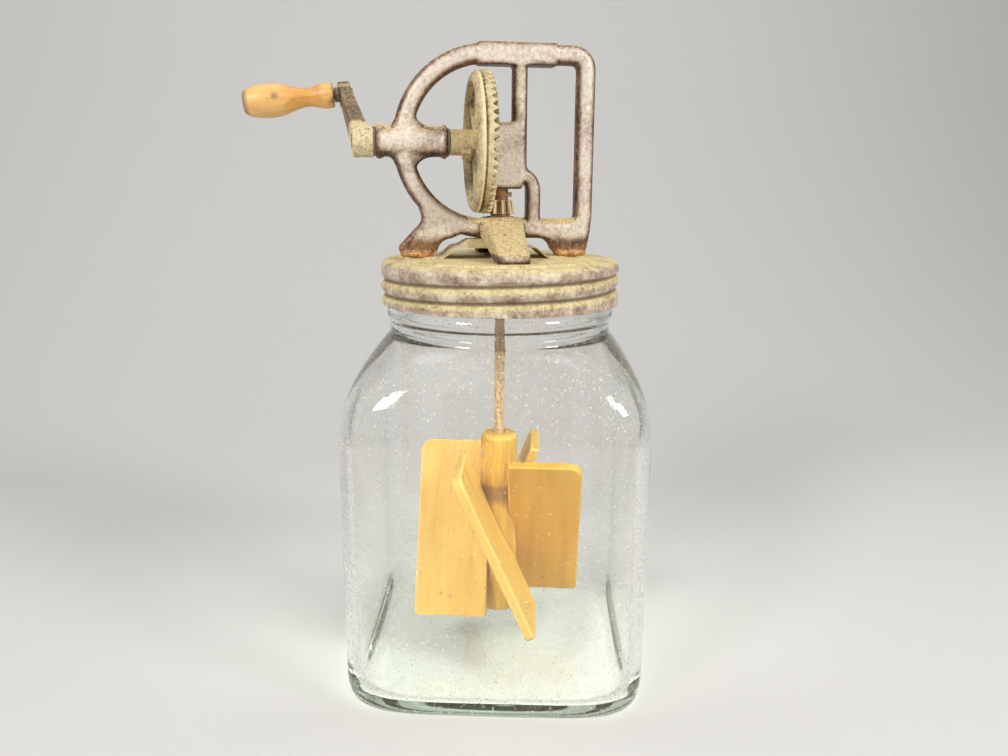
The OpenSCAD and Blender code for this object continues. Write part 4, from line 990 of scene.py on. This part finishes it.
# half outline from the nose to the flare, then back through the bore and the nose's recess
def gripProfile():
    g = grip
    tip = g["recessRadius"] + g["tipEdge"]
    swellZ = g["length"] * g["swellAt"]
    waistZ = g["length"] * g["waistAt"]
    flareZ = g["length"] - g["flareInset"]
    rows = []
    for t in np.linspace(0, 1, 22):
        rise, run = quarter(t)
        rows.append((mix(tip, g["swell"], rise), swellZ * (1 - run)))
    for first, last, lowZ, highZ, count in ((g["swell"], g["waist"], swellZ, waistZ, 26),
                                            (g["waist"], g["flare"], waistZ, flareZ, 18)):
        for t in np.linspace(0, 1, count)[1:]:
            rows.append((mix(last, first, 0.5 + 0.5 * math.cos(t * math.pi)), mix(lowZ, highZ, t)))
    for t in np.linspace(0, 1, 7)[1:]:
        rise, run = quarter(t)
        rows.append((g["flare"] - g["flareRound"] * (1 - run), flareZ + g["flareInset"] * rise))
    rows += [(r, g["length"]) for r in np.linspace(g["flare"] - g["flareRound"], g["bore"], 5)[1:]]
    rows += [(g["bore"], z) for z in np.linspace(g["length"], g["recessDepth"], 12)[1:]]
    rows += [(g["recessRadius"], g["recessDepth"]), (g["recessRadius"], g["recessEdge"])]
    rows += [(mix(g["recessRadius"], tip, 0.4), 0.0), rows[0]]
    return [(r, z, 0.0) for r, z in rows]


# wear shows on edges that stand out by the given measure
def woodAttributes(mesh, grain, wornEdge, mark):
    paint(mesh, "grain", grain, "FLOAT_VECTOR")
    paint(mesh, "wear", np.clip(convexity(mesh) / wornEdge, 0, 1))
    paint(mesh, "mark", mark)


def buildGrip(finish):
    joint = jointOf("grip_spin")
    piece = turnedPiece("handleGrip", gripProfile(), finish, grip["segments"])
    mesh = piece.data
    local = pointsOf(mesh)
    x, y, z = local.T
    nose = ramp(z, *grip["noseMark"])
    end = ramp(grip["length"] - z, *grip["endMark"])
    spots = np.zeros(len(local))
    for spot in gripSpots:
        away = np.hypot(z - spot["along"], (np.arctan2(y, x) - spot["angle"]) * grip["swell"])
        spots += ramp(away, spot["reach"], spot["solid"]) * spot["depth"]
    outside = np.hypot(x, y) > grip["spotsFrom"]
    mark = np.clip(nose * 0.75 + end * 0.45 + np.where(outside, spots, 0), 0, 1)
    woodAttributes(mesh, local + np.array(grip["grainShift"]), grip["wornEdge"], mark)
    # the nose looks outwards along the drooping spindle
    axis = Vector(joint["axis"]).normalized()
    start = Vector(joint["pos_m"]) - axis * (grip["length"] + grip["collar"])
    turn = Vector((0, 0, 1)).rotation_difference(axis).to_matrix().to_4x4()
    mesh.transform(Matrix.Translation(start) @ turn)
    seat(piece, "handle_grip", "grip")


dasher = {"turn": -102.0, "tilt": 24.0, "middleZ": 0.084}
blade = {"voxel": 0.0008, "rounds": 6, "wobble": 0.00022, "wobbleAcross": 70, "wobbleAlong": 25,
         "wobbleStep": 9, "wornEdge": 0.00016, "nickFade": (0.0016, 0.0006),
         "nicks": ((0.030, -0.044), (0.036, -0.0425))}
bladeTones = {"front": (1.0, 0.92, 0.74), "right": (0.86, 0.66, 0.22), "rear": (0.92, 0.82, 0.60),
              "left": (1.0, 0.90, 0.76)}


def buildBlade(index, side):
    node = "dasher_blade_" + side
    piece = roundedCopy(node, "dasherBlade." + side, blade)
    mesh = piece.data
    places = pointsOf(mesh)
    turn = Matrix.Rotation(math.radians(-dasher["tilt"]), 3, "X")
    turn = turn @ Matrix.Rotation(math.radians(-dasher["turn"] - 90 * index), 3, "Z")
    local = (places - np.array([0, 0, dasher["middleZ"]])) @ np.array(turn).T
    normals = normalsOf(mesh)
    across = blade["wobbleAcross"]
    for i, p in enumerate(local):
        spot = (p[0] * across + index * blade["wobbleStep"], p[1] * across, p[2] * blade["wobbleAlong"])
        places[i] += normals[i] * (noise.noise(Vector(spot)) * blade["wobble"])
    movePoints(mesh, places)
    setFinish(piece, woodFinish("bladeWood." + side, tintedLook(bladeLook, bladeTones[side])))
    mark = np.zeros(len(local))
    for nick in blade["nicks"]:
        away = np.hypot(local[:, 0] - nick[0], local[:, 2] - nick[1])
        mark = np.maximum(mark, ramp(away, *blade["nickFade"]) * 0.5)
    woodAttributes(mesh, local + np.array([0.11 * index, 0.07, 0.03 * index]), blade["wornEdge"], mark)
    seat(piece, node, "dasher")


dasherHub = {"voxel": 0.00055, "rounds": 5, "wornEdge": 0.00012, "grainShift": (0.021, 0.004, 0),
             "shadeBandTop": (0.030, 0.034), "shadeBandEnd": (0.046, 0.039), "stainReach": (0.0047, 0.0036),
             "stainDepth": (0.003, 0)}


def buildHub(finish):
    h = dasherHub
    piece = roundedCopy("dasher_hub", "dasherHub", h)
    setFinish(piece, finish)
    places = pointsOf(piece.data)
    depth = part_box("dasher_hub")[1].z - places[:, 2]
    reach = np.hypot(places[:, 0], places[:, 1])
    # painted shade in a dark band round it, and a stain where the rod goes in
    band = ramp(depth, *h["shadeBandTop"]) * ramp(depth, *h["shadeBandEnd"]) * 0.5
    mark = np.maximum(band, ramp(reach, *h["stainReach"]) * ramp(depth, *h["stainDepth"]) * 0.6)
    woodAttributes(piece.data, places + np.array(h["grainShift"]), h["wornEdge"], mark)
    seat(piece, "dasher_hub", "dasher")


# Camera at the photograph's place, and the studio
view = {"place": (-0.0823, -0.51635, 0.30599), "yaw": -9.37, "pitch": -13.09, "roll": 0.371,
        "focalPixels": 850.0, "imageWidth": 1008.0, "sensor": 36, "nearest": 0.01}


def buildCamera():
    data = bpy.data.cameras.new("photoCamera")
    data.sensor_width = view["sensor"]
    data.lens = view["focalPixels"] / view["imageWidth"] * data.sensor_width
    data.clip_start = view["nearest"]
    camera = bpy.data.objects.new("photoCamera", data)
    scene.collection.objects.link(camera)
    turn = Matrix.Rotation(math.radians(view["yaw"]), 4, "Z")
    turn = turn @ Matrix.Rotation(math.radians(90 + view["pitch"]), 4, "X")
    turn = turn @ Matrix.Rotation(math.radians(view["roll"]), 4, "Z")
    camera.matrix_world = Matrix.Translation(view["place"]) @ turn
    scene.camera = camera


studio = {"floorZ": -0.0002, "half": 3.0, "front": -2.5, "bend": 1.1, "bendRadius": 0.7, "height": 2.6,
          "paint": (0.74, 0.735, 0.72), "unevenness": 0.985, "wallLevel": 0.82, "world": (0.95, 0.97, 1.0),
          "worldStrength": 0.26, "aim": (0, 0, 0.22)}
keyLamp = {"size": (0.32, 0.32), "power": 9.7, "tint": (1, 0.975, 0.94)}
lamps = [{"name": "keyLeft", "place": (-0.85, -0.78, 0.95), **keyLamp},
         {"name": "keyRight", "place": (0.85, -0.76, 0.95), **keyLamp},
         {"name": "overhead", "place": (0.0, 0.30, 1.6), "size": (1.2, 0.8), "power": 4.5,
          "tint": (1, 1, 1)}]


def buildStudio():
    s = studio
    line = [(s["front"], s["floorZ"]), (s["bend"] - s["bendRadius"], s["floorZ"])]
    for t in np.linspace(0, math.pi / 2, 24)[1:]:
        line.append((s["bend"] - s["bendRadius"] + s["bendRadius"] * math.sin(t),
                     s["floorZ"] + s["bendRadius"] * (1 - math.cos(t))))
    line.append((s["bend"], s["height"]))
    points = [(side * s["half"], y, z) for y, z in line for side in (-1, 1)]
    faces = [(2 * i, 2 * i + 1, 2 * i + 3, 2 * i + 2) for i in range(len(line) - 1)]
    mesh = bpy.data.meshes.new("floorSweep")
    mesh.from_pydata(points, [], faces)
    sweep = newPiece("floorSweep", mesh)
    finish, b = newFinish("paleFloor")
    cloud = b.noise(b.objectPlace(), 3, 3)
    low = tuple(c * s["unevenness"] for c in s["paint"])
    colour = b.mixColour(cloud, low, s["paint"])
    setFinish(sweep, plainFinish(finish, b, {"Base Color": colour, "Roughness": 0.85}))
    # the air lights the churn softly, and past the sweep it looks as pale as the wall
    world = bpy.data.worlds.new("studioAir")
    scene.world = world
    world.use_nodes = True
    world.node_tree.nodes.clear()
    b = Builder(world.node_tree)
    direct = b.node("ShaderNodeLightPath", out="Is Camera Ray")
    mirrored = b.maths("MAXIMUM", direct.other("Is Glossy Ray"), direct.other("Is Transmission Ray"))
    air = b.node("ShaderNodeBackground", {}, {"Color": (*s["world"], 1), "Strength": s["worldStrength"]})
    wall = b.node("ShaderNodeBackground", {}, {"Color": (*s["paint"], 1), "Strength": s["wallLevel"]})
    shown = b.node("ShaderNodeMixShader", {}, {0: b.maths("MAXIMUM", direct, mirrored), 1: air, 2: wall})
    b.node("ShaderNodeOutputWorld", {}, {"Surface": shown})
    for lamp in lamps:
        data = bpy.data.lights.new(lamp["name"], "AREA")
        data.shape = "RECTANGLE"
        data.size, data.size_y = lamp["size"]
        data.energy = lamp["power"]
        data.color = lamp["tint"]
        light = bpy.data.objects.new(lamp["name"], data)
        scene.collection.objects.link(light)
        light.location = lamp["place"]
        aim = Vector(s["aim"]) - light.location
        light.rotation_euler = aim.to_track_quat("-Z", "Y").to_euler()


# Make everything
buildCamera()
buildStudio()
print("camera and studio ready")

buildJar()
print("glass jar ready")

crumbs = crumbFinish()
lidPiece = buildLid(lidFinish())
framePiece = buildFrame(castFinish("agedCasting"))
armPiece = buildArm(castFinish("agedArmCasting", armLook))
gearPiece = buildGear(gearFinish("dryGearIron", 0.3))
buildPinion(gearFinish("dryPinionIron", 0.9))
buildGearScrew(gearFinish("dryScrewIron", 0.0))
print("lid, frame, crank and gears ready")

buildGrip(woodFinish("gripWood", gripLook))
buildHub(woodFinish("hubWood", hubLook))
for number, sideName in enumerate(("front", "right", "rear", "left")):
    buildBlade(number, sideName)
print("wooden pieces ready")

# loose dust: crumbs on the lid, the frame and the crank's hub, and a few fibres on the base bar
dustJobs = [(framePiece, "frameCrumbs", "lid", 900000, (0.00022, 0.00052), 1.0, 3),
            (framePiece, "frameFibres", "lid", 26000, (0.00008, 0.00014), 14.0, 5),
            (lidPiece, "lidCrumbs", "lid", 90000, (0.00018, 0.00042), 0.8, 9),
            (armPiece, "crankCrumbs", "crank", 900000, (0.0002, 0.00045), 1.0, 11),
            (gearPiece, "gearCrumbs", "crank", 500000, (0.00018, 0.0004), 1.0, 13)]
for host, crumbName, body, density, sizes, stretch, seed in dustJobs:
    heap = scatterOn(host, crumbName, body, density, sizes, stretch, seed, crumbs)
    print(crumbName, len(heap.data.polygons))

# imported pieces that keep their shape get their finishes
keptFinishes = [(steelFinish("tarnishedSteel", 0.15),
                 ("frame_screws", "screw_washers", "lid_ferrule", "crank_shaft", "arm_pin", "thrust_washers",
                  "handle_spindle", "grip_washer")),
                (steelFinish("rustySteel", 0.85), ("rod_washer", "pinion_pin", "hub_pin", "dasher_rod")),
                (dustySheetFinish(), ("drip_plate",)),
                (rubberFinish(), ("lid_gasket",))]
for finish, keptNodes in keptFinishes:
    for node in keptNodes:
        nodes[node].data.materials.clear()
        nodes[node].data.materials.append(finish)
print("packed pieces finished")
